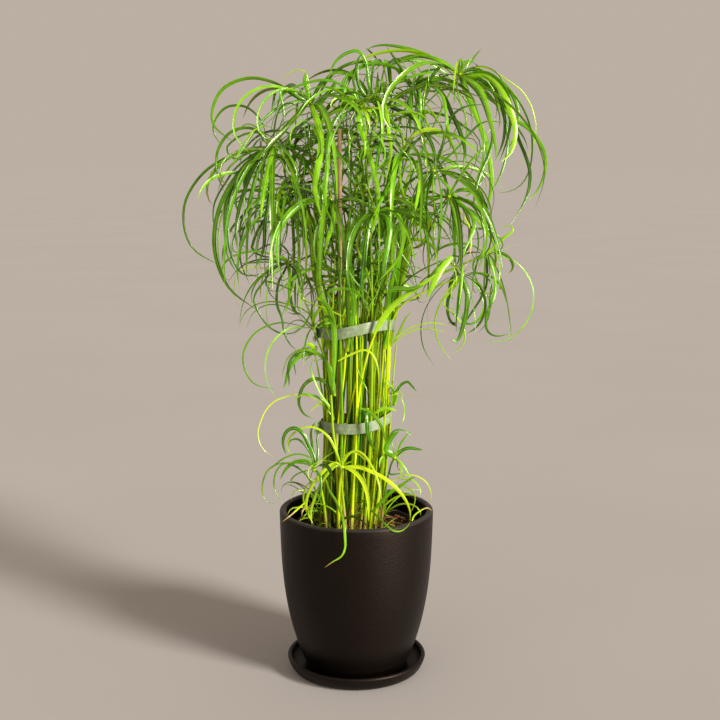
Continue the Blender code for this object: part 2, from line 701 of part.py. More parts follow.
def main():
    for thing in list(bpy.data.objects):
        bpy.data.objects.remove(thing)
    collection = make_collection("potted_umbrella_sedge")
    make_saucer(collection)
    make_pot(collection)
    make_grower_pot(collection)
    make_soil(collection)
    make_tie("tie_lower", TIE_WAIST, LOWER_TIE, 0, collection)
    make_tie("tie_upper", 1, UPPER_TIE, UPPER_TIE_TILT, collection)
    rng = np.random.default_rng(SEED)
    taken = Taken()
    cane, culms = grow_culms(rng, taken)
    crowns = grow_crowns(culms, rng, taken)
    make_cane(cane, collection)
    for name, place, *_ in CROWNS:
        route, tilt = culms[name]
        make_culm("culm_" + name, route, collection)
        make_crown("crown_" + name, np.array(place), tilt, crowns[name], collection)


if __name__ == "__main__":
    main()
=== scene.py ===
"""Looks of the potted umbrella sedge: glazed cover pot, bark, tape, cane, and the plant blade by blade.

The origin is the centre of the saucer's underside, +Z is up, and a viewer in front looks along +Y.
Every culm and crown of the frame is replaced by a finer one that follows it. All sizes are metres.
"""

import math

import bmesh
import bpy
import numpy as np
from bpy.props import FloatProperty, FloatVectorProperty, IntProperty, PointerProperty
from mathutils import Matrix, Vector


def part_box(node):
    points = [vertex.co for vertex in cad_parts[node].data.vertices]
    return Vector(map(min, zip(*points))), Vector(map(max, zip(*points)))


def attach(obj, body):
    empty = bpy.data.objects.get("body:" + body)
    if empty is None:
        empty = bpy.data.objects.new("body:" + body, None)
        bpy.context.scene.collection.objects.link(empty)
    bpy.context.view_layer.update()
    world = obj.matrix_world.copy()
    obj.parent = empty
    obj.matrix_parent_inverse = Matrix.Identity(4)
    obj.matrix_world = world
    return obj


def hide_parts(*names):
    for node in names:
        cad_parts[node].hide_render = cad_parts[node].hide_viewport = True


bl_info = {
    "name": "Potted umbrella sedge",
    "version": (1, 0, 0),
    "blender": (4, 5, 0),
    "location": "3D View > Sidebar > Sedge",
    "description": "Builds the looks of a potted umbrella sedge on its frame",
    "category": "Object",
}

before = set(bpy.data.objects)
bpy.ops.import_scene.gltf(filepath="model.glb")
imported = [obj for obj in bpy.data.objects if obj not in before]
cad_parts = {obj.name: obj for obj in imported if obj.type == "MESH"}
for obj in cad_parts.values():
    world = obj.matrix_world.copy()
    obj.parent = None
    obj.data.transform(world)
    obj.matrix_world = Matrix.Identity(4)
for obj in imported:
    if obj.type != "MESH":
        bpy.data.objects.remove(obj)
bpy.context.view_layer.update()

# Heights and radii that the frame's solids also have
POT_FLOOR = 0.0163
SOIL_TOP = 0.180
BUNDLE_RADIUS = 0.0435
TIE_WAIST = 0.908
LOWER_TIE = 0.307
UPPER_TIE = 0.428
CULM_RADIUS = 0.0024
HUB_PEAK = 0.003
HUB_RADIUS = 0.0055
BASE_SHIFT = -0.006
FOOT_DRAW = 0.86

# The camera. Spots that are read off the photograph are in the pixels of its 720 x 720 frame.
CAMERA_PLACE = (0.0045, -1.4604, 0.637)
CAMERA_TILT = math.radians(9.55)
LENS = 60.97
SENSOR = 36
PHOTO_MIDDLE = 360
PHOTO_FOCUS = LENS / SENSOR * 2 * PHOTO_MIDDLE

# A blade's taper: how wide it is at its root, how fast it widens and how late it narrows. The frame's
# bracts narrow a little earlier.
ROOT_SHARE = 0.6
ROOT_GROWTH = 3.0
TAPER = 5.0
FRAME_TAPER = 2.4

# How pale and how yellow the bracts of some crowns are, where they differ from the rest
CROWN_TONES = {
    "top_pale": (0.74, 0.30), "front_yellow": (0.90, 0.65), "front_dark": (0.22, 0.04),
    "side_left": (0.55, 0.20), "lower_left": (0.26, 0.06), "middle_small": (0.30, 0.05),
    "side_right": (0.45, 0.15), "left_weeping": (0.36, 0.04), "left_inner": (0.34, 0.04),
    "top_right": (0.40, 0.08), "right_low": (0.30, 0.08), "right_broad": (0.36, 0.06),
    "middle_left": (0.36, 0.06), "back_middle": (0.26, 0.04), "back_left": (0.26, 0.04),
    "back_right": (0.26, 0.04)}
USUAL_TONE = (0.36, 0.06)
LOW_CROWNS = ("front_yellow", "front_dark", "side_right", "middle_small", "side_left", "lower_left")

# Crowns whose bracts all show, so that their own blades below take the place of the frame's bracts
OWN_BLADES = ("front_yellow", "front_dark", "middle_small", "side_left", "side_right")

# Crowns of thin blades
THIN_CROWNS = ("right_hooked", "right_low", "lower_left", "front_middle")

# The blades that show clearly, read off the photograph. Below each crown's name stands a line for each
# blade that grows from it: its width in millimetres, its paleness, yellowness and dryness, and the spots
# that it passes, in pixels. A third number at a spot is the depth there, in millimetres. A line that starts
# with a spot goes on from the one above. The bundle has the bright and deep culms at its front, and the
# strays are single blades that cross the bundle or the pot.
# A blade's paleness is partly its own tone and partly painted light: high where it showed a highlight, low
# where it lay in shade. This holds for the bundle's culms and the strays too.
SHOWN = """
left_high
6.2 .55 .12 0 308,92 305,81 306,71,-12
3.4 .25 0 0 300,99 286,91 277,90 273,105 271,121,-30
3.8 .45 .05 0 298,97 288,89 281,91 283,107 284,129,-40
3.4 .35 .05 .1 298,101 288,104 276,109 266,117 256,129 247,142 239,154 229,169,-50
7.4 .72 .25 0 313,110 318,124 321,140 320,156 317,172 315,190 318,206 322,219,-110
5.6 .6 .2 0 322,112 329,130 328,150 327,172 325,195 327,212 333,223,-100
6 .35 .05 0 316,107 324,98 331,89 336,80,-30
4.6 .15 0 0 313,98 318,88 325,80 334,82 333,92,-20
1.4 .7 .7 .2 309,85 305,72 296,70 286,76 279,84,0
left_weeping
2.7 .3 .05 0 258,152 245,160 234,170 226,182 219,193 214,205 213,217 215,233,-20
3.8 .16 0 0 256,157 246,163 236,180 230,195 228,212 228,232 230,250 235,264 241,273 250,276 260,274
267,272,-30
5 .28 0 0 258,158 240,172 231,190 226,207 225,224 226,240 228,256 233,267 238,274,-50
4.4 .18 0 0 256,160 248,174 245,190 244,206 243,223,-20
5.2 .1 0 0 274,160 271,180 268,205 265,225 264,245 260,260 252,271,-60
6 .68 .15 0 273,150 270,160 267,175 264,190 262,205 261,219,-90
5 .38 .04 0 264,156 258,170 253,188 249,205 250,222 252,236,-50
3 .45 .1 0 266,157 262,175 259,195 256,212 254,228 257,241,0
4.8 .3 .03 0 260,154 249,163 240,176 235,190 236,205 240,217,-40
5 .22 0 0 262,156 252,172 244,192 238,214 236,236 239,256,-70
2.2 .6 .4 .2 250,160 232,186 222,214 218,242 220,264 226,281 229,288,-30
1.8 .55 .4 .3 258,128 247,124 238,130 231,137,0
left_middle
1.8 .4 .15 .1 274,213 262,228 257,242 256,258 261,268 262,274,-10
2.4 .25 .05 0 270,212 255,221 243,229 236,233 233,241 233,251 240,252 246,248,0
4 .7 .3 0 283,192 279,197 278,207 281,218 287,231,-50
3.6 .78 .12 0 296,224 299,245 299,262 299,280 300,300 302,317,-60
3 .3 .02 0 285,215 272,222 262,221 250,224 240,230 231,237,0
left_low
2 .2 0 0 288,252 278,243 268,245 258,250 250,257 243,264,20
2 .3 .05 0 280,263 265,262 250,263 239,264,0
2.4 .22 .05 .1 280,265 270,273 263,283 256,292 254,302 260,315 267,325 275,331 285,334 295,332 304,322,-20
3.2 .18 0 0 284,272 279,281 277,292 277,305 282,318 284,331 289,343 298,352,-30
3.4 .72 .2 0 290,272 289,286 289,300 285,315,-40
2.8 .7 .3 0 296,272 294,284 290,296 285,308 281,318,-30
1.4 .8 .9 .3 265,268 245,268 236,276 234,288 235,298 240,310,0
top_right
3.4 .6 .2 0 463,66 461,60 456,64,0
4 .45 .1 0 450,66 438,60 425,54 410,49 395,46 383,45 372,47 364,52,20
5.2 .62 .18 0 450,67 442,62 433,58 424,56 411,54,0
2.2 .35 .2 0 445,62 430,56 420,55 408,58 396,65,0
4.2 .14 0 0 450,68 443,65 436,71 430,79 420,84 409,89,0
3 .28 .05 0 448,67 434,63 420,63 410,68 401,77 394,88 391,100 391,109,10
7.4 .78 .3 0 470,76 480,74 489,77 498,85 505,97 511,112 515,126 515,138 513,148 507,157 500,162,-40
4.4 .1 0 0 468,70 478,70 487,75 494,87 500,100 504,113 505,127 503,142 498,155 494,162,-20
5.2 .62 .25 0 470,81 478,87 484,97 488,110 491,123 494,137 496,150 496,161,-45
2.2 .55 .3 0 475,81 487,87 497,96 505,108 509,120 508,133,0
1.8 .75 .6 .1 475,68 488,68 498,74 510,82 521,90 529,101 534,114 536,128 534,143 529,155 518,167,20
2.2 .45 .25 0 489,77 500,82 509,90 515,101 517,115,20
2.4 .5 .4 .3 476,83 486,91 493,99 498,109 500,120 498,131,-10
2.2 .6 .3 0 457,88 460,100 464,110 466,118 464,127 458,132 450,136,0
4.8 .22 .02 0 478,92 488,115 493,136 489,154 482,170 477,184 474,198 475,215,-30
4.4 .28 .05 0 485,82 500,105 507,130 508,148 504,165 498,180 490,193,-20
5 .6 .15 0 500,106 517,121 528,128 538,140 545,155 545,171 540,186 533,196 524,202,-50
4.8 .18 .02 0 495,93 510,116 519,140 526,157 530,172 529,188 524,203 517,215 511,225,-30
2.4 .25 .1 .1 500,82 520,103 531,130 532,155 528,174 520,186 508,192 494,193,0
3.4 .15 .02 0 490,90 508,112 519,130 525,140 528,150,0
right_high
2.2 .3 .3 .1 428,91 442,90 452,89 462,91 472,94 487,100,-20
5.6 .24 .05 0 430,83 440,91 447,102 452,114 458,126 462,138 465,150 464,162 462,173,-50
3.6 .72 .1 0 432,86 443,97 446,112 448,128 452,144 457,158 458,173,-70
3.6 .4 .1 0 419,78 422,73 430,70 440,69,0
4.8 .38 .08 0 412,93 411,106 410,121 411,136,-40
3.4 .14 0 0 418,93 420,106 422,118 421,129,-20
1.8 .7 .5 0 420,96 427,105 433,113 438,121 440,131,-30
right_long
3.2 .28 .08 0 442,147 447,128 453,115 462,108 474,105 487,105,-30
2.8 .32 .08 0 448,157 462,143 471,132 480,124 490,121 507,124,-20
3.4 .78 .12 .3 449,188 462,204 473,216 483,227 491,238 496,250 497,262 495,273,-50
2.4 .7 .4 0 433,188 434,204 435,221 433,238 431,253,-60
4.6 .45 .08 0 430,184 424,202 424,222 428,244 430,262,-80
right_broad
3 .8 .1 0 456,183 466,168 476,155 485,145 491,138,-50
2.8 .22 .2 0 460,219 473,228 486,229 495,233 501,240 503,246 499,251 493,253,0
3.4 .85 .1 0 455,214 458,235 460,253 462,272 461,290 459,306,-80
4.4 .62 .12 0 462,205 472,216 474,227 470,239 465,250 463,260,-50
2.4 .2 0 0 464,206 474,221 478,235 478,248 475,260,-20
1.6 .8 1 .7 462,214 470,228 471,248 468,261 464,269,-50
right_low
4.2 .58 .1 .1 490,261 493,269 495,280 495,291 492,301 488,311 486,321 487,330 492,335 500,336 511,333,-30
2.8 .28 .05 0 487,264 487,276 486,287 481,298 474,309 467,319 461,327 454,333,0
2.2 .3 .1 0 476,258 473,266 476,278 480,290 480,300,10
2.8 .8 .4 0 494,247 503,239 513,230 511,226 499,228,10
right_hooked
5.8 .35 .1 0 464,284 467,293 467,303 466,314 463,326 460,336 456,342 449,337,-30
3.2 .4 .1 0 461,288 460,300 458,312 455,326,-40
2.4 .72 .45 .1 452,290 444,301 446,308 455,315 462,325 465,336 463,345 457,351 450,354,-30
2.2 .9 .5 0 450,288 440,304 435,320 436,334 440,345 452,361,-20
top_dense
4.8 .2 0 0 367,98 360,88 357,75 357,63 362,52,0
4.4 .4 .08 0 369,85 366,62 358,51 347,53 337,60 331,70 328,81,0
4.4 .85 .3 0 381,99 385,108 388,120 389,135 391,150 389,165 386,181,-70
4.8 .15 0 0 387,105 398,110 408,114 416,121 424,131 431,142 435,155 436,171,-60
5 .3 .05 0 378,110 382,124 381,142 377,160 376,180,-80
top_pale
3.2 .45 .1 0 352,92 340,84 325,80 310,82 298,86 287,92 278,100 271,112,-20
4.2 .3 .04 0 350,110 340,114 333,123 328,136 326,150 326,166,-60
4.2 .3 .06 0 352,106 343,104 341,93 343,82 348,72,-20
3.2 .35 .08 0 358,98 355,88 353,78 356,69,-10
5.8 .72 .2 0 358,119 362,133 368,150 373,168 377,185 378,202 376,218 371,233 367,251,-90
middle_left
5.2 .8 .15 0 332,206 334,218 331,230 327,242 324,257,-80
3.6 .2 0 0 325,196 314,181 320,203 333,221 336,236,-70
front_middle
5 .7 .15 0 388,209 398,216 403,230 402,245 398,258 390,269 379,281,-100
6.6 .42 .1 0 386,216 390,228 388,245 384,265 382,286,-90
6 .22 0 0 370,222 366,240 364,260 362,285 364,306,-100
2.6 .75 .5 0 362,228 357,245 362,260 368,274 371,288 374,305,-90
middle_right
4.4 .85 .18 0 411,158 417,167 420,180 418,195 415,210 411,225,-80
2.8 .85 .15 0 400,168 401,184 405,199 410,211 414,225,-80
4.6 .55 .1 0 398,162 391,178 386,192 379,205 374,216,-100
lower_left
1.8 .45 .35 .2 310,315 300,308 290,305 278,302 265,302 253,306 244,314 238,329,0
2.2 .4 .4 0 311,316 306,304 300,291,-30
2.2 .2 .1 0 312,316 312,302 310,289,-20
4.4 .45 .35 0 314,318 320,309 329,305,-40
2 .2 .1 0 306,320 300,314 293,314 287,312,-20
side_left
4.8 .58 .1 0 308,354 299,357 292,364 288,372 286,381 283,390,-40
3.4 .18 .02 0 307,351 299,352 291,359 288,370 289,380 289,388,-45
1.8 .7 .45 .1 317,347 308,348 296,351 288,358 284,368 281,379,-30
1.6 .35 .3 .1 310,356 305,361 303,366,-40
front_yellow
4.4 .8 .8 .1 336,463 326,469 316,480 308,494 306,506 309,516 314,525,-62
3.8 .62 .55 .1 337,465 329,472 321,484 315,498 311,511 312,525,-66
4.7 .9 .9 0 349,467 358,467 370,471 384,478 397,489 406,501 410,512 410,522,-64
3 .85 .8 .1 345,459 350,453 357,451 364,455 371,465 377,478 380,492 379,504,-70
2 .8 .8 .2 345,456 352,452 360,455 366,462,-60
2.8 .7 .75 .1 335,449 330,439 322,431 312,427 300,429 291,436 287,446 291,455 297,461,-40
front_dark
4.8 .16 0 0 313,457 308,444 303,434 295,428 287,431 283,440 284,449 288,457,-45
2.8 .18 0 0 312,457 304,444 297,439 290,441 288,449,-50
2.1 .25 .2 .1 312,459 298,454 289,456 281,460 275,465 268,470 264,478 262,490 264,498 270,503 278,504,-50
2.1 .22 .15 .1 309,465 300,463 291,463 283,464 277,470 274,480 275,490 279,498 284,504,-60
4.4 .45 .1 0 307,461 298,461 290,465 284,472 280,480,-50
3.4 .12 0 0 314,455 312,443 311,432 314,424 320,421,-40
3 .18 0 0 317,459 318,448 317,438 320,430,-45
3 .2 .05 0 319,474 321,484 320,496 316,506,-65
middle_small
3.4 .18 .02 0 398,389 402,384 408,382 412,386 417,392,-24
1.4 .6 .6 .6 399,391 402,396 400,404,-26
2.6 .5 .2 0 392,388 388,383 384,381,-30
side_right
4.4 .22 .02 0 400,452 405,449 411,448 417,449 424,450,-30
2.8 .5 .15 0 399,447 403,440 407,435 412,431,-30
2.6 .8 .2 0 400,462 404,467 408,474 411,480,-40
7 .5 .06 0 391,455 386,449 390,440 395,434 400,431,-45
2.4 .25 .05 0 393,446 390,436 396,430 405,431 414,438,-30
2.2 .25 0 0 391,465 390,474 396,474 404,473,-40
bundle
3.6 .8 1 0 352,530,-36 353,500 354,470 355,440 357,412 360,390 364,368 369,350 376,331,-41
2.8 .6 .6 0 374,524,-26 379,490 382,460 384,430 386,400 387,370 388,345 390,322,-30
2.4 .6 .6 0 370,526,-30 373,500 376,470 378,445 380,420 383,395 386,365 391,330,-20
3.4 .8 .95 0 341,530,-30 338,490 337,455 338,428 341,400 344,375 346,350 348,325 351,296,-40
2.4 .4 .35 0 365,528,-30 366,500 368,470 370,440 372,410 374,380 379,340,-34
3.8 .5 .4 0 346,530,-44 343,500 340,474 336,450 333,430 332,412 331,395,-46
2.6 .5 .5 0 383,505,-10 386,470 389,440 391,410 393,380 396,345,-12
3 .7 .9 0 324,515,-10 325,480 326,450 327,425 327,395 324,350,-14
3.6 0 0 0 348,526,-30 349,480 351,440 352,400 354,360 357,322,-34
3.6 .1 0 0 359,527,-28 360,480 361,440 364,400 369,360 375,322,-32
3.4 0 .05 0 335,522,-26 333,480 332,440 334,400 337,360 340,322,-30
strays
6.2 .36 .08 0 316,298,-60 325,303 331,314 334,330 335,350 334,372 333,392,-54
6.6 .7 .3 .1 374,334,-50 382,320 393,306 405,296 418,287 440,272,-55
6 .35 .05 0 384,292,-50 396,289 410,289 425,285,-60
7.8 .7 .1 .1 452,256,-45 444,266 436,278 426,300,-60
2.4 .75 .7 .2 338,361,-46 350,355 364,350 370,352 377,364 379,386,-54
2 .55 .2 0 357,368,-48 361,378 368,392,-54
4 .35 .1 0 360,408,-44 368,411 376,418 382,428 386,444,-54
4.2 .8 .12 0 375,413,-44 382,409 390,409 397,411,-48
5.2 .22 0 0 368,408,-44 367,420,-52 368,434 372,446 378,452,-50
3 .55 .2 0 393,345,-26 400,330 406,318 412,311,-26
1.6 .6 .45 .3 392,345,-30 405,334 422,329 452,333,-34
1.6 .6 .5 .3 392,340,-30 410,328 430,323 454,326,-34
1.6 .8 .9 .2 334,418,-34 320,402 308,396 298,394 285,397 275,401 266,410 261,421 258,432 260,444 266,452
278,459,-34
4.8 .35 .08 0 335,396,-44 332,378 328,365 320,355 311,351 303,350 296,353,-46
3.2 .55 .15 0 334,420,-44 330,408 322,396 315,382 311,370 313,358,-50
4.6 .14 .06 0 330,400,-38 328,386 322,380 313,379 305,384 300,394 299,404 304,414 314,419,-46
2.8 .45 .12 0 332,414,-40 322,400 312,395 303,394 297,398 292,402,-46
2 .6 .4 .4 330,412,-40 320,404 312,410 309,414,-44
3.4 .4 .05 0 334,305,-50 328,292 340,289 352,290 361,296 367,306 370,317,-58
3.2 .6 .12 .25 326,480,-60 329,490,-72 336,501 341,513,-92 344,524,-101.5 345,537,-104 345,549 341,557
334,561 324,568,-103
1.6 .75 .9 .3 384,486,-30 395,480 403,476 411,475 419,477 426,482 430,489 431,498 428,506,-44
1.8 .7 .8 1 412,521,-68 414,516 420,511 427,508 433,511,-60
4.4 .5 .08 0 372,512,-36 383,500 391,492 399,487 406,482 412,478 417,477,-56
1.8 .4 .35 .2 396,484,-36 405,487 411,490 415,497 414,505 411,512,-52
2 .8 .3 0 400,479,-36 410,479 416,483 420,489 421,496,-50
2.6 .45 .2 0 362,500,-30 372,511,-55 379,518 386,525,-80 394,531,-88 401,531 407,527 411,520,-82
2.8 .2 0 0 322,505,-30 314,487 305,473 295,466 285,463 276,465 269,469,-50
2 .45 .3 .1 318,508,-20 312,494 305,491 298,490 293,493 291,501,-40
2.2 .55 .55 .2 328,508,-10 312,508 300,507 291,509 287,516,-30
2.2 .8 .3 0 310,512,-30 304,503 304,492 308,484 315,480,-50
2 .75 .8 .9 308,500,-50 300,507,-68 290,516,-83 282,522,-87
2.2 .8 .7 .8 338,512,30 327,516 313,522,10
2.2 .8 .8 .7 366,505,20 378,511 388,516 396,520,10
"""

# How high each tape runs above its solid's middle, by the turn round the bundle in degrees, and its
# free end: how far it starts to the left and to the front, and how far it hangs
TAPES = {
    "tie_upper": (
        ((196, 0), (239, 0), (257, 0.0036), (279, 0.0078), (308, 0.0110), (345, 0.0080), (365, 0.0060),
         (450, 0), (551, 0)), (-0.003, -0.024, 0.004)),
    "tie_lower": (
        ((196, 0.005), (230, 0.007), (262, 0.0078), (286, 0.0096), (312, 0.0130), (345, 0.0165),
         (380, 0.0150), (450, 0.004), (551, 0.004)), (-0.006, -0.020, 0.003))}

# How fast a blade's face turns back and forth along it, at most, in degrees
SWAY = 30

# Where blades spring from: how far from the heart's middle, and the turn from each to the next, in
# degrees and as a share of the full turn
HEART_RADIUS = 0.0015
GOLDEN_TURN = 137.5
GOLDEN_SHARE = 0.382

# A blade that would leave the plant's outline is tried again, each time a little shorter
TRIES = 12
TRY_SHARE = 0.93

# How high the head starts
HEAD_BOTTOM = 0.46


def size_setting(name, description, default):
    return FloatProperty(name=name, description=description, default=default, unit="LENGTH")


def colour_setting(name, description, *default):
    return FloatVectorProperty(name=name, description=description, default=default, subtype="COLOR")


def count_setting(name, description, default, least=0):
    return IntProperty(name=name, description=description, default=default, min=least)


def light_setting(name, description, default):
    return FloatProperty(name=name, description=description, default=default, min=0)


class PotSettings(bpy.types.PropertyGroup):
    rim_radius: size_setting("Rim radius", "Outer radius of the cover pot's rim", 0.095)
    height: size_setting("Height", "Height of the cover pot's rim above the ground", 0.206)
    wall: size_setting("Wall", "Thickness of the cover pot's wall", 0.0085)
    sides: count_setting("Sides", "Facets round each turned piece", 128, 24)
    glaze: colour_setting("Glaze", "Colour of the ceramic", 0.0012, 0.0007, 0.0005)
    # The lips' worn brown, made lighter as a painted highlight along the rim
    lip_wear_and_highlight: colour_setting("Worn glaze", "Colour of the ceramic along its lips", 0.050, 0.044, 0.038)
    plastic: colour_setting("Plastic", "Colour of the grower's pot", 0.030, 0.031, 0.031)


class PlantSettings(bpy.types.PropertyGroup):
    seed: count_setting("Seed", "Picks the growth of the finer blades", 7)
    more_bracts: count_setting("More bracts", "Fine bracts added to each large crown", 7)
    rays: count_setting("Rays", "Hair-thin rays in each crown's heart", 7)
    inner_shoots: count_setting("Inner shoots", "Thinner culms with small crowns inside the head", 18)
    young_shoots: count_setting("Young shoots", "Thin culms with hardly any crown", 34)
    dark: colour_setting("Dark green", "Bracts in the depth", 0.007, 0.046, 0.0005)
    middle: colour_setting("Green", "Most bracts", 0.060, 0.225, 0.001)
    bright: colour_setting("Bright green", "The palest bracts", 0.27, 0.55, 0.012)
    yellow: colour_setting("Yellow-green", "Yellowing bracts and culms", 0.49, 0.58, 0.004)
    straw: colour_setting("Straw", "Dry tips", 0.36, 0.24, 0.07)


class TrimSettings(bpy.types.PropertyGroup):
    tape: colour_setting("Tape", "Colour of the ties", 0.190, 0.240, 0.125)
    tape_width: size_setting("Tape width", "Width of the ties", 0.0125)
    tape_thickness: size_setting("Tape thickness", "Thickness of the ties", 0.0006)
    bamboo: colour_setting("Bamboo", "Colour of the cane", 0.66, 0.42, 0.19)
    chips: count_setting("Chips", "Pieces of bark on the soil", 320)


class StageSettings(bpy.types.PropertyGroup):
    floor: colour_setting("Floor", "Colour of the floor", 0.404, 0.373, 0.350)
    backdrop: colour_setting("Surround", "Colour of the light all round", 1.00, 0.853, 0.728)
    lens: FloatProperty(name="Lens", description="Focal length for a 36 mm sensor", default=LENS, min=1)
    key: light_setting("Key light", "Strength of the soft key light from the right", 4.0)
    fill: light_setting("Fill light", "Strength of the weak light from the left", 0.5)
    low: light_setting("Low light", "Strength of the low light that shines in the glaze", 4.2)
    around: light_setting("Light all round", "Strength of the surround", 0.50)


def clear_selection():
    """Leaves edit mode and deselects everything, the frame's nodes too."""
    if bpy.context.object and bpy.context.object.mode != "OBJECT":
        bpy.ops.object.mode_set(mode="OBJECT")
    bpy.ops.object.select_all(action="DESELECT")


def pick(things):
    """Selects these objects alone, the first one active."""
    clear_selection()
    for thing in things:
        thing.select_set(True)
    bpy.context.view_layer.objects.active = things[0]


def edit_all():
    """Edits the active object with all of it selected."""
    bpy.ops.object.mode_set(mode="EDIT")
    bpy.ops.mesh.select_all(action="SELECT")


def extrude_to(before, after, centre):
    """Draws the selected end on by one station: (size, place) pairs along Z, round a centre in XY."""
    share = after[0] / before[0]
    bpy.ops.mesh.extrude_region_move(TRANSFORM_OT_translate={"value": (0, 0, after[1] - before[1])})
    bpy.ops.transform.resize(value=(share, share, 1), center_override=(*centre, after[1]))


def turned(name, profile, sides, centre=(0, 0)):
    """A filled circle drawn on ring by ring through a profile of (radius, height)."""
    clear_selection()
    bpy.ops.mesh.primitive_circle_add(
        vertices=sides, radius=profile[0][0], fill_type="NGON", location=(*centre, profile[0][1]))
    thing = bpy.context.object
    bpy.ops.object.transform_apply(location=True)
    edit_all()
    for before, after in zip(profile, profile[1:]):
        extrude_to(before, after, centre)
    bpy.ops.mesh.select_all(action="SELECT")
    bpy.ops.mesh.normals_make_consistent(inside=False)
    bpy.ops.object.mode_set(mode="OBJECT")
    bpy.ops.object.shade_smooth_by_angle(angle=math.radians(40))
    return named(thing, name)


def named(thing, name):
    thing.name = name
    thing.data.name = name
    return thing


def arc(centre, radius, start, end, count):
    """Points of a rounded corner in a profile, by angle in degrees."""
    turns = [math.radians(start + (end - start) * i / count) for i in range(count + 1)]
    return [(centre[0] + radius * math.cos(turn), centre[1] + radius * math.sin(turn)) for turn in turns]


def piece(thing, slot, material, *nodes):
    """Finishes a piece: its material, the body it rides on and the nodes it stands for. Its slot is not
    used.
    """
    thing.data.materials.clear()
    thing.data.materials.append(material)
    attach(thing, "root")
    if nodes:
        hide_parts(*nodes)
    return thing


def joined(things, name):
    """Joins objects into one piece."""
    pick(things)
    if len(things) > 1:
        bpy.ops.object.join()
    return named(bpy.context.object, name)


def scaled(colour, share):
    return [min(1, share * part) for part in colour]


class Finish:
    """A material in the making, and the nodes that colour, dull and bump its principled shader."""

    def __init__(self, name, roughness, specular=0.5, sheen=(1, 1, 1)):
        self.material = bpy.data.materials.new(name)
        self.material.use_nodes = True
        self.tree = self.material.node_tree
        self.sockets = self.tree.nodes["Principled BSDF"].inputs
        self.sockets["Roughness"].default_value = roughness
        self.sockets["Specular IOR Level"].default_value = specular
        self.sockets["Specular Tint"].default_value = (*sheen, 1)
        self.place = self.put("TexCoord").outputs["Object"]

    def put(self, kind, inputs=(), **fields):
        """Adds a node. Inputs are (socket, value or output) pairs."""
        node = self.tree.nodes.new("ShaderNode" + kind)
        for field, value in fields.items():
            setattr(node, field, value)
        for socket, value in inputs:
            if isinstance(value, bpy.types.NodeSocket):
                self.tree.links.new(value, node.inputs[socket])
            else:
                node.inputs[socket].default_value = value
        return node

    def maths(self, operation, first, second=0.0):
        return self.put("Math", [(0, first), (1, second)], operation=operation).outputs[0]

    def plus(self, first, second):
        return self.maths("ADD", first, second)

    def less(self, first, second):
        return self.maths("SUBTRACT", first, second)

    def times(self, first, second):
        return self.maths("MULTIPLY", first, second)

    def swing(self, value, amount):
        """A value moved from round a half to round nothing, and scaled."""
        return self.times(self.less(value, 0.5), amount)

    def spread(self, value, low, high, to_low=0.0, to_high=1.0):
        """Maps a value from one range to another, smoothly and clamped."""
        return self.put(
            "MapRange", [("Value", value), ("From Min", low), ("From Max", high), ("To Min", to_low),
                         ("To Max", to_high)], interpolation_type="SMOOTHSTEP").outputs["Result"]

    def mix(self, share, *colours):
        """Mixes two colours, each a socket or a plain colour."""
        one, other = (colour if isinstance(colour, bpy.types.NodeSocket) else (*colour, 1)
                      for colour in colours)
        return self.put("Mix", [(0, share), (6, one), (7, other)], data_type="RGBA").outputs[2]

    def ramp(self, value, *stops):
        """A colour ramp through (place, colour) stops."""
        node = self.put("ValToRGB", [(0, value)])
        marks = node.color_ramp.elements
        while len(marks) < len(stops):
            marks.new(0.5)
        for mark, (place, colour) in zip(marks, stops):
            mark.position = place
            mark.color = (*colour, 1)
        return node.outputs["Color"]

    def noise(self, scale, detail=2.0, roughness=0.5, stretch=None, vector=None):
        """Noise over the object's own place or another vector, which a Mapping node may stretch."""
        vector = self.place if vector is None else vector
        if stretch:
            vector = self.put("Mapping", [("Vector", vector), ("Scale", stretch)]).outputs[0]
        return self.put("TexNoise", [("Vector", vector), ("Scale", scale), ("Detail", detail),
                                     ("Roughness", roughness)]).outputs["Fac"]

    def height(self):
        return self.put("SeparateXYZ", [(0, self.place)]).outputs["Z"]

    def map_place(self):
        return self.put("UVMap", uv_map="UVMap").outputs[0]

    def own_tone(self):
        """What paint has stored: paleness, yellowness, dryness and chance."""
        own = self.put("Attribute", attribute_name="tone").outputs
        return (*self.put("SeparateColor", [(0, own["Color"])]).outputs, own["Alpha"])

    def done(self, colour, gloss=None, bump=None):
        """Links colour, roughness and a bump of (height, strength, distance) to the shader."""
        self.tree.links.new(colour, self.sockets["Base Color"])
        if gloss is not None:
            self.tree.links.new(gloss, self.sockets["Roughness"])
        if bump is not None:
            node = self.put("Bump", zip(("Height", "Strength", "Distance"), bump))
            self.tree.links.new(node.outputs[0], self.sockets["Normal"])
        return self.material


def ceramic_look(settings):
    """Black satin glaze with a fine sandy speckle, browner and duller along the lips, where the lighter
    colour is partly wear and partly a painted highlight.
    """
    pot = Finish("black_glaze", 0.5, 0.21, (1, 0.76, 0.60))
    cloud = pot.noise(9, 3)
    grain = pot.noise(1500)
    sand = pot.noise(520, 1)
    glaze = pot.mix(pot.spread(cloud, 0.35, 0.7), settings.glaze, scaled(settings.glaze, 1.7))
    specks = pot.mix(pot.spread(grain, 0.62, 0.76, 0, 0.8), glaze, (0.016, 0.011, 0.008))
    # Along the lips the glaze takes that colour: brown wear, lightened as a painted highlight
    lip = pot.spread(pot.plus(pot.height(), pot.times(cloud, 0.0022)), 0.2035, 0.2072)
    lip_wear_and_highlight = pot.mix(pot.times(lip, 0.55), specks, settings.lip_wear_and_highlight)
    bumps = pot.plus(pot.times(grain, 0.6), sand)
    return pot.done(lip_wear_and_highlight, pot.spread(grain, 0.3, 0.75, 0.38, 0.54), (bumps, 0.8, 0.00022))


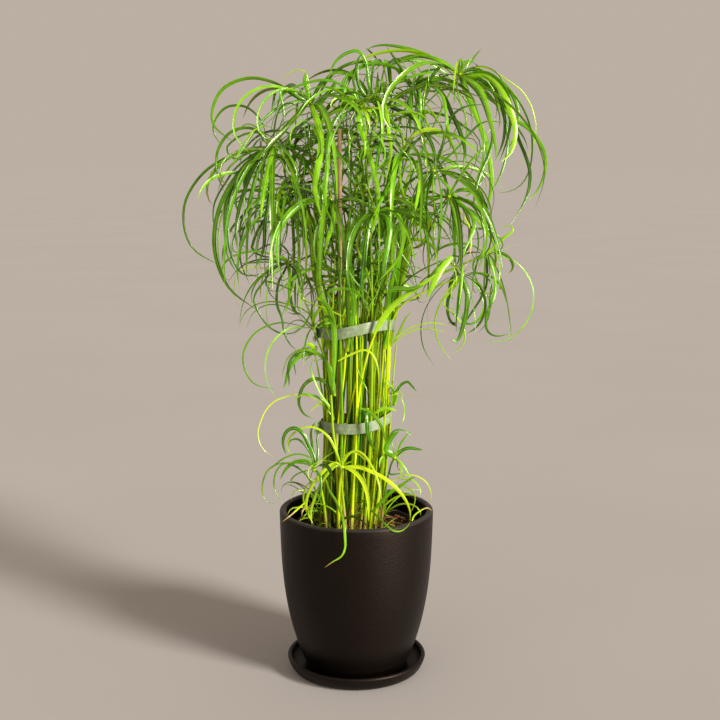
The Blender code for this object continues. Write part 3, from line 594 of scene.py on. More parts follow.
def plastic_look(settings):
    """Thin moulded plastic, scuffed grey along its rim."""
    plastic = Finish("grower_plastic", 0.5)
    scuffs = plastic.noise(1, 3, stretch=(40, 40, 900))
    dust = plastic.spread(plastic.noise(180, 4), 0.45, 0.8, 0, 0.7)
    colour = plastic.mix(dust, settings.plastic, (0.12, 0.12, 0.115))
    return plastic.done(colour, plastic.spread(scuffs, 0.2, 0.8, 0.35, 0.65), (scuffs, 0.3, 0.0003))


def soil_look():
    """Dark damp peat between the chips."""
    peat = Finish("peat", 0.95, 0.2)
    coarse = peat.noise(160, 5, 0.7)
    colour = peat.ramp(coarse, (0.3, (0.008, 0.004, 0.002)), (0.6, (0.045, 0.022, 0.010)),
                       (0.8, (0.12, 0.060, 0.026)))
    return peat.done(colour, bump=(coarse, 0.9, 0.003))


def bark_look():
    """Pine bark from dark brown to orange and straw, each chip with its own tone."""
    bark = Finish("bark", 0.85, 0.3)
    grain = bark.noise(1, 4, 0.7, (300, 300, 1400))
    mixed = bark.plus(bark.times(bark.own_tone()[0], 0.8), bark.times(grain, 0.35))
    colour = bark.ramp(mixed, (0.15, (0.012, 0.006, 0.003)), (0.45, (0.085, 0.034, 0.013)),
                       (0.75, (0.26, 0.105, 0.036)), (1.0, (0.48, 0.30, 0.14)))
    return bark.done(colour, bump=(grain, 0.7, 0.0008))


def bamboo_look(settings):
    """Dry cane: fine fibres along it, darker blotches and paler scars at its joints."""
    cane = Finish("dry_bamboo", 0.5)
    fibres = cane.noise(1, 3, stretch=(2600, 2600, 22))
    blotches = cane.noise(1, 3, stretch=(120, 120, 34))
    streaks = cane.spread(fibres, 0.35, 0.75, 0, 0.45)
    streaked = cane.mix(streaks, settings.bamboo, scaled(settings.bamboo, 0.42))
    colour = cane.mix(cane.spread(blotches, 0.52, 0.72, 0, 0.6), streaked, (0.30, 0.15, 0.08))
    return cane.done(colour, cane.spread(blotches, 0.2, 0.8, 0.42, 0.62), (fibres, 0.4, 0.0002))


def tape_look(settings):
    """Grey-green plastic tape, satin, with fine folds across it that are paler as a painted highlight."""
    tape = Finish("plant_tape", 0.36)
    fold_relief_and_highlight = tape.noise(1, 4, 0.6, (60, 3, 1), tape.map_place())
    mottle = tape.noise(70, 3)
    # Paler along the folds: a painted highlight
    colour = tape.mix(tape.spread(fold_relief_and_highlight, 0.45, 0.75), settings.tape, scaled(settings.tape, 1.5))
    colour = tape.mix(tape.spread(mottle, 0.5, 0.75, 0, 0.7), colour, scaled(settings.tape, 0.62))
    return tape.done(colour, tape.spread(mottle, 0.3, 0.7, 0.28, 0.46), (fold_relief_and_highlight, 0.5, 0.0007))


def leaf_look(settings):
    """Bracts: veined green with a pale midrib, margins made paler as painted light shining through them,
    lime roots and some dry tips.
    """
    leaf = Finish("sedge_bract", 0.22, 0.5, (0.95, 1, 0.65))
    tone, yellow, dry, chance = leaf.own_tone()
    along, across, _ = leaf.put("SeparateXYZ", [(0, leaf.map_place())]).outputs
    off_middle = leaf.maths("ABSOLUTE", leaf.less(across, 0.5))
    lanes = leaf.put("CombineXYZ", [(0, leaf.times(along, 3.0)), (1, leaf.times(across, 9.0)),
                                    (2, leaf.times(chance, 40.0))]).outputs[0]
    veins = leaf.noise(1.6, 3, 0.6, vector=lanes)
    shade = leaf.plus(leaf.plus(tone, leaf.swing(veins, 0.55)), leaf.swing(leaf.noise(85), 0.45))
    half_bright = [0.5 * (one + other) for one, other in zip(settings.middle, settings.bright)]
    green = leaf.ramp(shade, (0.05, settings.dark), (0.45, settings.middle), (0.72, half_bright),
                      (1.0, settings.bright))
    # The paler midrib is the bract's own; the paler margins are painted light, as if shining through their
    # thin edges
    pale_midrib_and_lit_margins = leaf.plus(leaf.spread(off_middle, 0.03, 0.09, 0.35, 0),
                           leaf.spread(off_middle, 0.40, 0.5, 0, 0.45))
    lined = leaf.mix(pale_midrib_and_lit_margins, green, settings.bright)
    root = leaf.spread(along, 0.0, 0.07, 0.35, 0)
    yellowing = leaf.times(yellow, leaf.spread(veins, 0.25, 0.7, 0.45, 1))
    yellowed = leaf.mix(leaf.maths("MAXIMUM", root, yellowing), lined, settings.yellow)
    reach = leaf.less(1.02, leaf.times(dry, 0.45))
    ragged = leaf.plus(along, leaf.swing(veins, 0.25))
    colour = leaf.mix(leaf.spread(leaf.less(ragged, reach), -0.03, 0.05), yellowed, settings.straw)
    return leaf.done(colour, leaf.spread(veins, 0.2, 0.8, 0.15, 0.28), (veins, 0.25, 0.0003))


def culm_look(settings):
    """Culms: yellow-green and finely ribbed below, greener above, papery brown at the very foot."""
    culm = Finish("sedge_culm", 0.34, 0.3, (0.9, 1, 0.35))
    tone, yellow, _, _ = culm.own_tone()
    ribs = culm.noise(1, 3, stretch=(1500, 1500, 16))
    mottle = culm.noise(1, 3, stretch=(60, 60, 14))
    lift = culm.plus(culm.height(), culm.swing(mottle, 0.16))
    fresh = culm.times(culm.spread(lift, 0.36, 0.56, 1, 0.12), yellow)
    green = culm.ramp(culm.plus(tone, culm.swing(ribs, 0.5)), (0.0, settings.dark), (0.5, settings.middle),
                      (1.0, settings.bright))
    colour = culm.mix(fresh, green, settings.yellow)
    colour = culm.mix(culm.spread(lift, 0.186, 0.212, 0.75, 0), colour, (0.36, 0.22, 0.08))
    return culm.done(colour, culm.spread(ribs, 0.2, 0.8, 0.30, 0.46), (ribs, 0.4, 0.0003))


def floor_look(settings):
    """A plain floor, hardly mottled."""
    floor = Finish("studio_floor", 0.85, 0.2)
    cloud = floor.spread(floor.noise(1.6, 4), 0.3, 0.7)
    return floor.done(floor.mix(cloud, settings.floor, scaled(settings.floor, 0.97)))


def look(name, make, *settings):
    """A material by name, made the first time that it is asked for."""
    return bpy.data.materials.get(name) or make(*settings)


def paint(mesh, tone, yellow, dry, chance):
    """Stores one tone for the whole mesh, which its material reads."""
    mark = mesh.attributes.new("tone", "FLOAT_COLOR", "POINT")
    mark.data.foreach_set("color", np.tile([tone, yellow, dry, chance], len(mesh.vertices)))


def set_map(mesh, along, across):
    """Lays the UV map from a place along and a place across for each vertex."""
    layer = mesh.uv_layers.get("UVMap") or mesh.uv_layers.new(name="UVMap")
    corners = np.empty(len(mesh.loops), int)
    mesh.loops.foreach_get("vertex_index", corners)
    layer.data.foreach_set("uv", np.stack([along[corners], across[corners]], 1).ravel())


def vertex_places(mesh):
    places = np.empty(3 * len(mesh.vertices))
    mesh.vertices.foreach_get("co", places)
    return places.reshape(-1, 3)


def limb(name, section, shares, pointed=True):
    """A closed limb one metre long: a section of (across, up) points drawn on station by station.

    It is drawn along Z and then laid along X, so that a curve can bend it.
    """
    clear_selection()
    bpy.ops.mesh.primitive_circle_add(vertices=len(section), radius=0.5, fill_type="NGON")
    thing = bpy.context.object
    for vertex, (across, up) in zip(thing.data.vertices, section):
        vertex.co = (-up * shares[0], across * shares[0], 0)
    edit_all()
    steps = np.linspace(0, 1, len(shares))
    for before, after in zip(zip(shares, steps), zip(shares[1:], steps[1:])):
        extrude_to(before, after, (0, 0))
    if pointed:
        bpy.ops.mesh.merge(type="COLLAPSE")
    bpy.ops.mesh.select_all(action="SELECT")
    bpy.ops.mesh.normals_make_consistent(inside=False)
    bpy.ops.object.mode_set(mode="OBJECT")
    thing.data.transform(Matrix.Rotation(math.pi / 2, 4, "Y"))
    places = vertex_places(thing.data)
    set_map(thing.data, places[:, 0], places[:, 1] + 0.5)
    bpy.ops.object.shade_smooth_by_angle(angle=math.radians(50))
    return named(thing, name)


def blade_shares(stations):
    """How wide a blade is at each station, from its root to its tip."""
    up = np.linspace(0, 1, stations + 1)
    return np.maximum(np.minimum(1, ROOT_SHARE + ROOT_GROWTH * up) * (1 - up ** TAPER), 0.02)


def model_limbs():
    """The few limbs that every blade, ray and culm is copied from."""
    keel = ((0.5, 0.0), (0.0, -0.17), (-0.5, 0.0), (0.0, -0.22))
    ray = ((0.5, 0.0), (0.0, 0.5), (-0.5, 0.0), (0.0, -0.5))
    round_section = [(0.5 * math.cos(turn), 0.5 * math.sin(turn))
                     for turn in np.linspace(0, 2 * math.pi, 7, endpoint=False)]
    return {
        "long": limb("blade_long", keel, blade_shares(26)),
        "short": limb("blade_short", keel, blade_shares(15)),
        "ray": limb("blade_ray", ray, np.linspace(1, 0.25, 7), False),
        "culm": limb("culm_round", round_section, np.ones(31), False),
        "knot": crown_knot()}


def crown_knot():
    """The small swollen knot, one metre in radius, that a crown's bracts grow from."""
    profile = [(0.42, -1.5), (0.62, -0.9), (0.95, -0.2), (1.0, 0.2), (0.7, 0.7), (0.25, 1.0)]
    thing = turned("knot", profile, 8)
    places = vertex_places(thing.data)
    set_map(thing.data, np.zeros(len(places)), np.full(len(places), 0.25))
    return thing


def drop(things):
    """Removes objects that are no longer needed, and their data."""
    for thing in things:
        data = thing.data
        bpy.data.objects.remove(thing)
        (bpy.data.meshes if isinstance(data, bpy.types.Mesh) else bpy.data.curves).remove(data)


def smooth(points, count):
    """Evenly many points along a smooth curve through a few given ones."""
    points = np.asarray(points, float)
    knots = np.concatenate([[0], np.cumsum(np.linalg.norm(np.diff(points, axis=0), axis=1) ** 0.6)])
    slopes = np.gradient(points, knots, axis=0)
    spots = np.linspace(0, knots[-1], count)
    i = np.clip(np.searchsorted(knots, spots, side="right") - 1, 0, len(points) - 2)
    gap = (knots[i + 1] - knots[i])[:, None]
    u = (spots - knots[i])[:, None] / gap
    return ((2 * u ** 3 - 3 * u ** 2 + 1) * points[i] + (u ** 3 - 2 * u ** 2 + u) * gap * slopes[i]
            + (3 * u ** 2 - 2 * u ** 3) * points[i + 1] + (u ** 3 - u ** 2) * gap * slopes[i + 1])


def shown_blades(name):
    """The blades that stand below a name in the table: width, paleness, yellowness, dryness and spots."""
    blades = []
    group = ""
    for line in SHOWN.strip().split("\n"):
        words = line.split()
        spots = [[float(part) for part in word.split(",")] for word in words if "," in word]
        if not spots:
            group = line
        elif group == name and "," in words[0]:
            blades[-1][-1].extend(spots)
        elif group == name:
            width, paleness, yellowness, dryness = (float(word) for word in words[:4])
            blades.append((width / 1000, paleness, yellowness, dryness, spots))
    return blades


def from_photo(spots, heart=None):
    """Places in metres for spots of the photograph: those without a depth get one in between."""
    depths = [spot[2] / 1000 if len(spot) > 2 else math.nan for spot in spots]
    if heart is not None:
        depths.insert(0, heart[1])
    steps = np.arange(len(depths))
    known = np.isfinite(depths)
    depths = np.interp(steps, steps[known], np.array(depths)[known])[-len(spots):]
    pixels = np.array([spot[:2] for spot in spots])
    away = depths - CAMERA_PLACE[1]
    rise = (PHOTO_MIDDLE - pixels[:, 1]) / PHOTO_FOCUS
    sine, cosine = math.sin(CAMERA_TILT), math.cos(CAMERA_TILT)
    drops = away * (rise * cosine - sine) / (cosine + rise * sine)
    across = (pixels[:, 0] - PHOTO_MIDDLE) / PHOTO_FOCUS * (away * cosine - drops * sine)
    places = np.stack([CAMERA_PLACE[0] + across, depths, CAMERA_PLACE[2] + drops], 1)
    return places if heart is None else np.vstack([heart, places])


def usual_tilts(route, rng):
    """How far a blade is turned at each point, in radians: one that grows sideways turns more."""
    share = np.linspace(0, 1, len(route))
    run = route[len(route) // 2] - route[0]
    sideways = abs(run[0]) / max(math.hypot(run[0], run[1]), 1e-6)
    twist = rng.choice((-1, 1)) * (10 + 62 * sideways + rng.uniform(-12, 12))
    return np.radians(twist * np.minimum(1, share / 0.3) + SWAY * rng.uniform(-1, 1) * np.sin(5 * share))


def facing_tilts(route, rng):
    """How far a blade is turned at each point, in radians, for its face to show, give or take a little."""
    ways = np.gradient(route, axis=0)
    ways /= np.linalg.norm(ways, axis=1)[:, None]
    across = np.cross((0, 0, 1), ways[0])
    tilts = []
    for way, place in zip(ways, route):
        across = across - way * (across @ way)
        across /= np.linalg.norm(across)
        wanted = np.cross(way, CAMERA_PLACE - place)
        tilts.append(math.atan2(np.cross(across, wanted) @ way, across @ wanted))
    lean = np.radians(SWAY * rng.uniform(0.3, 1)) * np.sin(np.linspace(0, 5, len(route)) + rng.uniform(0, 6))
    return np.unwrap(tilts, period=math.pi) + lean


def round_bundle(away, turn, height, shift=0.0):
    """A place this far from the middle of the bundle or a heart, at a turn round it in radians."""
    return away * math.cos(turn) + shift, away * math.sin(turn), height


def length_of(route):
    return float(np.linalg.norm(np.diff(route, axis=0), axis=1).sum())


def guide_along(route, tilts, slim=1.0, twist="MINIMUM"):
    """A curve along a route for a limb or tape to bend along."""
    line = bpy.data.curves.new("guide", "CURVE")
    line.dimensions = "3D"
    line.twist_mode = twist
    spline = line.splines.new("POLY")
    spline.points.add(len(route) - 1)
    for i, point in enumerate(spline.points):
        point.co = (*route[i], 1)
        point.tilt = tilts[i]
        point.radius = 1 + (slim - 1) * i / (len(route) - 1)
    guide = bpy.data.objects.new("guide", line)
    bpy.context.collection.objects.link(guide)
    return guide


def shaped(thing, kind, **fields):
    """Gives an object a modifier and applies it."""
    modifier = thing.modifiers.new("shape", kind)
    for field, value in fields.items():
        setattr(modifier, field, value)
    with bpy.context.temp_override(object=thing, active_object=thing, selected_objects=[thing]):
        bpy.ops.object.modifier_apply(modifier=modifier.name)


def lumps(scale):
    """A cloud texture that a Displace modifier reads."""
    texture = bpy.data.textures.new("lumps", "CLOUDS")
    texture.noise_scale = scale
    return texture


def bent(master, route, width, tint, tilts=None, slim=1.0):
    """A copy of a limb, scaled and bent along a route, and turned round it by its tilts."""
    guide = guide_along(route, np.zeros(len(route)) if tilts is None else tilts, slim)
    thing = copied(master, Matrix.Diagonal((length_of(route), width, width, 1)))
    paint(thing.data, *tint)
    shaped(thing, "CURVE", object=guide, deform_axis="POS_X")
    drop([guide])
    return thing


def copied(master, shape):
    """A copy of an object with its own mesh, which a matrix shapes and places."""
    thing = master.copy()
    thing.data = master.data.copy()
    bpy.context.collection.objects.link(thing)
    thing.data.transform(shape)
    return thing


def merged_node(name):
    """A copy of a node's surface with its loose triangles joined up."""
    shape = bmesh.new()
    shape.from_mesh(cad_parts[name].data)
    bmesh.ops.remove_doubles(shape, verts=shape.verts, dist=1e-6)
    return shape


def neighbours(corners):
    return {edge.other_vert(corner) for corner in corners for edge in corner.link_edges}


def rings_along(start, seen, size):
    """Walks along a limb of a solid, ring by ring, from the ring at its end."""
    rings = [start]
    while True:
        seen = seen | rings[-1]
        following = neighbours(rings[-1]) - seen
        if len(following) != size:
            return rings
        rings.append(following)


def middle(ring):
    return np.mean([corner.co for corner in ring], axis=0)


def culm_of_frame(name):
    """The route of a culm's solid, from the soil up."""
    shape = merged_node(name)
    lowest = min(corner.co.z for corner in shape.verts)
    foot = {corner for corner in shape.verts if corner.co.z < lowest + 1e-5}
    route = [middle(ring) for ring in rings_along(foot, set(), len(foot))]
    shape.free()
    return np.array(route)


def crown_of_frame(name):
    """The heart of a crown's solid, its tilt, and each bract's route and width."""
    shape = merged_node(name)
    foot, peak = sorted(sorted(shape.verts, key=lambda corner: -len(corner.link_edges))[:2],
                        key=lambda corner: corner.co.z)
    heart = np.array(peak.co) - (0, 0, HUB_PEAK)
    tilt = heart - np.array(foot.co)
    bracts = []
    for tip in sorted((c for c in shape.verts if len(c.link_edges) == 3), key=lambda c: tuple(c.co)):
        rings = rings_along(neighbours([tip]), {tip}, 3)
        rings = [ring for ring in rings if np.linalg.norm(middle(ring) - heart) > HUB_RADIUS + 0.001]
        edges = [max(((a.co, b.co) for a in ring for b in ring), key=lambda pair: (pair[0] - pair[1]).length)
                 for ring in rings]
        inner = [np.array((a + b) / 2) for a, b in edges][::-1]
        out = inner[0] - heart
        level = np.array([out[0], out[1], 0]) / math.hypot(out[0], out[1])
        route = [heart + HEART_RADIUS * level, heart + HUB_RADIUS * level, *inner, np.array(tip.co)]
        steps = np.linalg.norm(np.diff(route, axis=0), axis=1)
        share = steps[:2].sum() / steps.sum()
        width = max((a - b).length for a, b in edges) / (1 - share ** FRAME_TAPER)
        bracts.append((np.array(route), width))
    shape.free()
    return heart, tilt / np.linalg.norm(tilt), bracts


def blade_route(root, turn, swing, rise, length, droop, early, curl=0.0, wobble=(3, 5, 0), kink=(2, 0),
                count=16):
    """A blade's route whose bend changes evenly, and tightens into a curl near its tip.

    All angles are in degrees. It wobbles sideways, and may have a sharp kink at a share of its length.
    """
    share = (np.arange(count) + 0.5) / count
    bent_over = early * (1 - (1 - share) ** 2) + (1 - early) * share ** 2
    tightening = np.clip((share - 0.6) / 0.4, 0, 1) ** 2
    heading = np.radians(rise - droop * bent_over - curl * tightening - kink[1] * (share > kink[0]))
    around = np.radians(turn + swing * share + wobble[0] * np.sin(wobble[1] * share + wobble[2]))
    level = np.cos(heading)
    steps = np.stack([level * np.cos(around), level * np.sin(around), np.sin(heading)], 1)
    return np.vstack([[0, 0, 0], np.cumsum(steps, 0) * length / count]) + root


def hides_cane(route):
    """Whether a blade passes in front of the stretch of cane that shows."""
    low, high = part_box("cane")
    near = (abs(route[:, 0] - (low.x + high.x) / 2) < 0.008) & (route[:, 1] < low.y)
    return bool((near & (route[:, 2] > 0.52) & (route[:, 2] < high.z + 0.01)).any())


def keeps_inside(route, low):
    """Whether a fine blade stays within the plant's own outline, and off the soil and the pot's rim."""
    away = np.hypot(route[:, 0], route[:, 1])
    height = route[:, 2]
    if hides_cane(route):
        return False
    floor = np.where(away < 0.082, SOIL_TOP + 0.006, np.where(away < 0.102, 0.212, 0.16))
    top = 0.752 - 0.5 * np.maximum(0, -0.02 - route[:, 0])
    if (height < floor).any() or (height > top).any():
        return False
    if low:
        return bool((away < 0.125).all())
    head = (route[:, 0] / 0.192) ** 2 + (route[:, 1] / 0.152) ** 2 < 1
    skirt = max(0.112, away[0] + 0.03)
    return bool(head.all() and ((height > HEAD_BOTTOM) | (away < skirt)).all())


def tint_of(tone, yellow, rng):
    """One blade's paleness, yellowness, dryness and chance."""
    return (
        float(np.clip(tone + rng.normal(0, 0.20), 0, 1)),
        float(np.clip(yellow * rng.uniform(0.3, 1.7) + 0.3 * (rng.random() < 0.05), 0, 1)),
        float(rng.uniform(0.15, 0.4) if rng.random() < 0.04 else rng.uniform(0, 0.1)),
        float(rng.random()))


def fine_blades(limbs, heart, count, reach, widths, rises, droops, tint, low, rng):
    """Finer bracts round a heart, inside the plant's outline: ribbons that hang, threads that curl."""
    blades = []
    turn = rng.uniform(0, 360)
    for i in range(count):
        turn += GOLDEN_TURN + rng.uniform(-40, 40)
        ribbon = i % 4 == 0
        for attempt in range(TRIES):
            length = reach * rng.uniform(0.6, 1.2) * TRY_SHARE ** attempt
            kink = (rng.uniform(0.4, 0.8), rng.uniform(50, 120)) if rng.random() < 0.08 else (2, 0)
            root = heart + round_bundle(HEART_RADIUS, math.radians(turn), 0)
            if ribbon:
                droop, swing, curl = rng.uniform(90, 150), rng.uniform(-40, 40), rng.uniform(-30, 120)
                width = widths[1] * rng.uniform(0.75, 1.15)
            else:
                droop, swing, curl = rng.uniform(*droops), rng.uniform(-120, 120), rng.uniform(0, 260)
                width = widths[0] + (widths[1] - widths[0]) * rng.random() ** 2 * 0.7
            wobble = (rng.uniform(4, 18), rng.uniform(4, 9), rng.uniform(0, 6))
            route = blade_route(root, turn, swing, rng.uniform(*rises), length, droop, rng.uniform(0.1, 0.9),
                                curl, wobble, kink)
            if keeps_inside(route, low):
                blades.append(bent(
                    limbs["short"], route, width, tint_of(*tint, rng), usual_tilts(route, rng)))
                break
    return blades


def fine_rays(limbs, heart, count, rng):
    """Hair-thin lime rays that stand out of a crown's heart."""
    rays = []
    for _ in range(count):
        route = blade_route(
            heart + (0, 0, 0.001), rng.uniform(0, 360), rng.uniform(-60, 60), rng.uniform(-5, 75),
            rng.uniform(0.014, 0.045), rng.uniform(-20, 60), 0.5, count=6)
        if keeps_inside(route, heart[2] < HEAD_BOTTOM):
            rays.append(bent(
                limbs["ray"], route, rng.uniform(0.0005, 0.0009),
                (rng.uniform(0.6, 1), rng.uniform(0.2, 0.7), 0, rng.random())))
    return rays


def knot(limbs, heart, tilt, size, rng):
    """A copy of the knot, of this radius, leaning as its culm does."""
    lean = Vector((0, 0, 1)).rotation_difference(Vector(tilt)).to_matrix().to_4x4()
    thing = copied(limbs["knot"], Matrix.Translation(heart) @ lean @ Matrix.Scale(size, 4))
    paint(thing.data, 0.7, 0.45, 0, rng.random())
    return thing


def gathered(route):
    """Draws the foot of a culm in: the bundle is narrower at the soil than at its lower tie."""
    up = np.clip((route[:, 2] - SOIL_TOP) / (LOWER_TIE - SOIL_TOP), 0, 1)
    drawn = FOOT_DRAW + (1 - FOOT_DRAW) * up
    return np.stack([BASE_SHIFT + (route[:, 0] - BASE_SHIFT) * drawn, route[:, 1] * drawn, route[:, 2]], 1)


def plant_start(context, step):
    """The plant's settings, the random draws of one step, and the limbs to copy."""
    settings = context.scene.sedge_plant
    return settings, np.random.default_rng(settings.seed + step), model_limbs()


class SEDGE_OT_pot(bpy.types.Operator):
    """Turn the cover pot, its saucer and the grower's pot"""
    bl_idname = "sedge.pot"
    bl_label = "Pot and saucer"

    def execute(self, context):
        settings = context.scene.sedge_pot
        glaze = look("black_glaze", ceramic_look, settings)
        self.cover_pot(settings, glaze)
        self.saucer(settings, glaze)
        self.grower_pot(settings)
        return {"FINISHED"}

    def cover_pot(self, settings, glaze):
        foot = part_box("pot")[0].z
        lip = 0.0034
        shoulder = settings.height - lip
        heights = np.linspace(foot + 0.003, shoulder, 22)[:-1]

        def outside(height):
            up = (height - foot) / (shoulder - foot)
            return settings.rim_radius - 0.0325 + 0.0285 * (1 - (1 - up) ** 3) + 0.004 * up

        profile = [(outside(foot) - 0.0060, foot + 0.0006), (outside(foot) - 0.0045, foot),
                   (outside(foot) - 0.0022, foot), (outside(foot) - 0.0006, foot + 0.0010)]
        profile += [(outside(height), height) for height in heights]
        profile += arc((settings.rim_radius - lip, shoulder), lip, 0, 90, 6)
        profile += arc((settings.rim_radius - settings.wall + lip, shoulder), lip, 90, 180, 6)
        profile += [(outside(height) - settings.wall, height) for height in heights[::-1][1:-1]]
        profile += [(outside(POT_FLOOR) - settings.wall - 0.004, POT_FLOOR), (0.02, POT_FLOOR)]
        piece(turned("cover_pot", profile, settings.sides), "black_ceramic", glaze, "pot")

    def saucer(self, settings, glaze):
        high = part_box("saucer")[1]
        radius, lip = high.x, 0.0027
        top = high.z - lip
        profile = [(0.060, 0.0008), (0.0680, 0.0008), (0.0690, 0), (0.0748, 0), (0.0760, 0.0005)]
        profile += [(0.0782, 0.0014), (0.0802, 0.0028), (0.0826, 0.0058), (0.0846, 0.0098), (0.0858, 0.0132)]
        profile += arc((radius - lip, top), lip, 0, 180, 9)
        profile += [(0.0806, 0.0120), (0.0786, 0.0092), (0.0762, 0.0073), (0.0730, 0.0063), (0.0700, 0.0060),
                    (0.02, 0.0060)]
        piece(turned("drip_saucer", profile, settings.sides), "black_ceramic", glaze, "saucer")

    def grower_pot(self, settings):
        low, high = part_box("grower_pot")
        radius, top, bottom = high.x, high.z, low.z
        wall = 0.0013
        profile = [(0.050, bottom), (0.052, bottom + 0.001), (radius - 0.0028, top - 0.010),
                   (radius - 0.0026, top - 0.0090), (radius - 0.0002, top - 0.0088)]
        profile += [(radius, top - 0.0080)] + arc((radius - 0.0006, top - 0.0006), 0.0006, 0, 90, 3)
        profile += arc((radius - 0.0020, top - 0.0006), 0.0006, 90, 180, 3)
        profile += [(radius - 0.0026 - wall, top - 0.010), (0.0505, bottom + 0.003), (0.02, bottom + 0.0022)]
        thing = turned("growers_pot", profile, 96)
        piece(thing, "grower_plastic", look("grower_plastic", plastic_look, settings), "grower_pot")


class SEDGE_OT_soil(bpy.types.Operator):
    """Fill the grower's pot with peat and cover it with bark chips and straw"""
    bl_idname = "sedge.soil"
    bl_label = "Soil and bark"

    def execute(self, context):
        rng = np.random.default_rng(context.scene.sedge_plant.seed + 1)
        low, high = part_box("soil")
        radius = high.x
        profile = [(0.050, low.z), (radius, SOIL_TOP - 0.001), (radius - 0.002, SOIL_TOP)]
        profile += [(share * radius, SOIL_TOP + 0.0004) for share in np.linspace(0.95, 0.05, 16)]
        peat = turned("potting_soil", profile, 64)
        shaped(peat, "DISPLACE", texture=lumps(0.014), texture_coords="LOCAL", direction="Z", strength=0.004)
        piece(peat, "soil", look("peat", soil_look), "soil")
        chips = self.chips(context.scene.sedge_trim.chips, radius, rng)
        piece(joined(chips, "bark_chips"), "soil", look("bark", bark_look))
        return {"FINISHED"}

    def chips(self, count, radius, rng):
        """Angular flakes of bark, of four cuts, strewn over the soil."""
        masters = []
        for cut in range(4):
            clear_selection()
            bpy.ops.mesh.primitive_cube_add(size=1)
            flake = bpy.context.object
            edit_all()
            bpy.ops.mesh.bevel(offset=0.16 + 0.05 * cut, segments=1)
            bpy.ops.mesh.subdivide(number_cuts=1)
            bpy.ops.transform.vertex_random(offset=0.12, normal=0.4, seed=cut + 3)
            bpy.ops.object.mode_set(mode="OBJECT")
            bpy.ops.object.shade_smooth_by_angle(angle=math.radians(30))
            masters.append(flake)
        chips = []
        for i in range(count):
            away = radius * 0.985 * math.sqrt(rng.random())
            around = rng.uniform(0, math.tau)
            size = rng.uniform(0.003, 0.0085)
            shape = Matrix.Diagonal((size, size * rng.uniform(0.45, 0.8), size * rng.uniform(0.2, 0.42), 1))
            turn = Matrix.Rotation(rng.uniform(0, math.tau), 4, "Z") @ Matrix.Rotation(
                rng.normal(0, 0.35), 4, "X") @ Matrix.Rotation(rng.normal(0, 0.3), 4, "Y")
            place = Matrix.Translation(round_bundle(away, around, SOIL_TOP + rng.uniform(0.0006, 0.0032)))
            chip = copied(masters[i % 4], place @ turn @ shape)
            paint(chip.data, rng.beta(2, 2.4), 0, 0, rng.random())
            chips.append(chip)
        drop(masters)
        return chips


class SEDGE_OT_cane(bpy.types.Operator):
    """Stand the bamboo cane in the bundle"""
    bl_idname = "sedge.cane"
    bl_label = "Cane"

    def execute(self, context):
        low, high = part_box("cane")
        centre = ((low.x + high.x) / 2, (low.y + high.y) / 2)
        radius = (high.x - low.x) / 2
        profile = [(0.6 * radius, low.z), (0.94 * radius, low.z + 0.0005)]
        joints = (0.236, 0.299, 0.365, 0.428, 0.489, 0.549, 0.606, 0.654)
        for height in joints:
            profile += [(0.93 * radius, height - 0.012), (0.97 * radius, height - 0.003), (radius, height),
                        (0.90 * radius, height + 0.0008), (0.96 * radius, height + 0.0022)]
        profile += [(0.93 * radius, high.z - 0.001), (0.80 * radius, high.z), (0.45 * radius, high.z),
                    (0.40 * radius, high.z - 0.003)]
        thing = turned("bamboo_cane", profile, 16, centre)
        piece(thing, "bamboo", look("dry_bamboo", bamboo_look, context.scene.sedge_trim), "cane")
        return {"FINISHED"}


class SEDGE_OT_ties(bpy.types.Operator):
    """Wrap the two tapes round the bundle, each with its free end at the left"""
    bl_idname = "sedge.ties"
    bl_label = "Ties"

    def execute(self, context):
        settings = context.scene.sedge_trim
        tape = look("plant_tape", tape_look, settings)
        for name, node in (("tape_upper", "tie_upper"), ("tape_lower", "tie_lower")):
            piece(self.tie(name, node, settings), "tie_tape", tape, node)
        return {"FINISHED"}

    def tie(self, name, node, settings):
        heights, (left, front, hang) = TAPES[node]
        low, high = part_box(node)
        radius = (high.y - low.y) / 2 - settings.tape_thickness
        centre = np.array([(low.x + high.x) / 2, (low.y + high.y) / 2, (low.z + high.z) / 2])
        level = heights[0][1]
        tail = [centre + (share * left - radius, front * (0.5 + 0.5 * share), level - share * hang)
                for share in (1, 0.5)]
        turns = np.linspace(heights[0][0], heights[-1][0], 72)
        rises = smooth(heights, 72)
        rises = np.interp(turns, rises[:, 0], rises[:, 1])
        band = [centre + (radius * math.cos(math.radians(turn)), radius * math.sin(math.radians(turn)), rise)
                for turn, rise in zip(turns, rises)]
        route = np.array(tail + band)
        guide = guide_along(route, np.full(len(route), math.pi / 2), twist="Z_UP")
        clear_selection()
        bpy.ops.mesh.primitive_grid_add(x_subdivisions=160, y_subdivisions=8, size=1, location=(0.5, 0, 0))
        strip = bpy.context.object
        bpy.ops.object.transform_apply(location=True)
        strip.data.transform(Matrix.Diagonal((length_of(route), settings.tape_width, 1, 1)))
        for vertex in strip.data.vertices:
            flare = max(0, 1 - vertex.co.x / 0.018)
            vertex.co.y *= 1 + 0.35 * flare
            vertex.co.z += 0.0022 * flare * math.sin(vertex.co.y * 420)
        shaped(strip, "CURVE", object=guide, deform_axis="POS_X")
        drop([guide])
        shaped(strip, "DISPLACE", texture=lumps(0.011), texture_coords="LOCAL", strength=0.0016)
        shaped(strip, "SOLIDIFY", thickness=settings.tape_thickness, offset=0)
        bpy.ops.object.shade_smooth_by_angle(angle=math.radians(40))
        return named(strip, name)


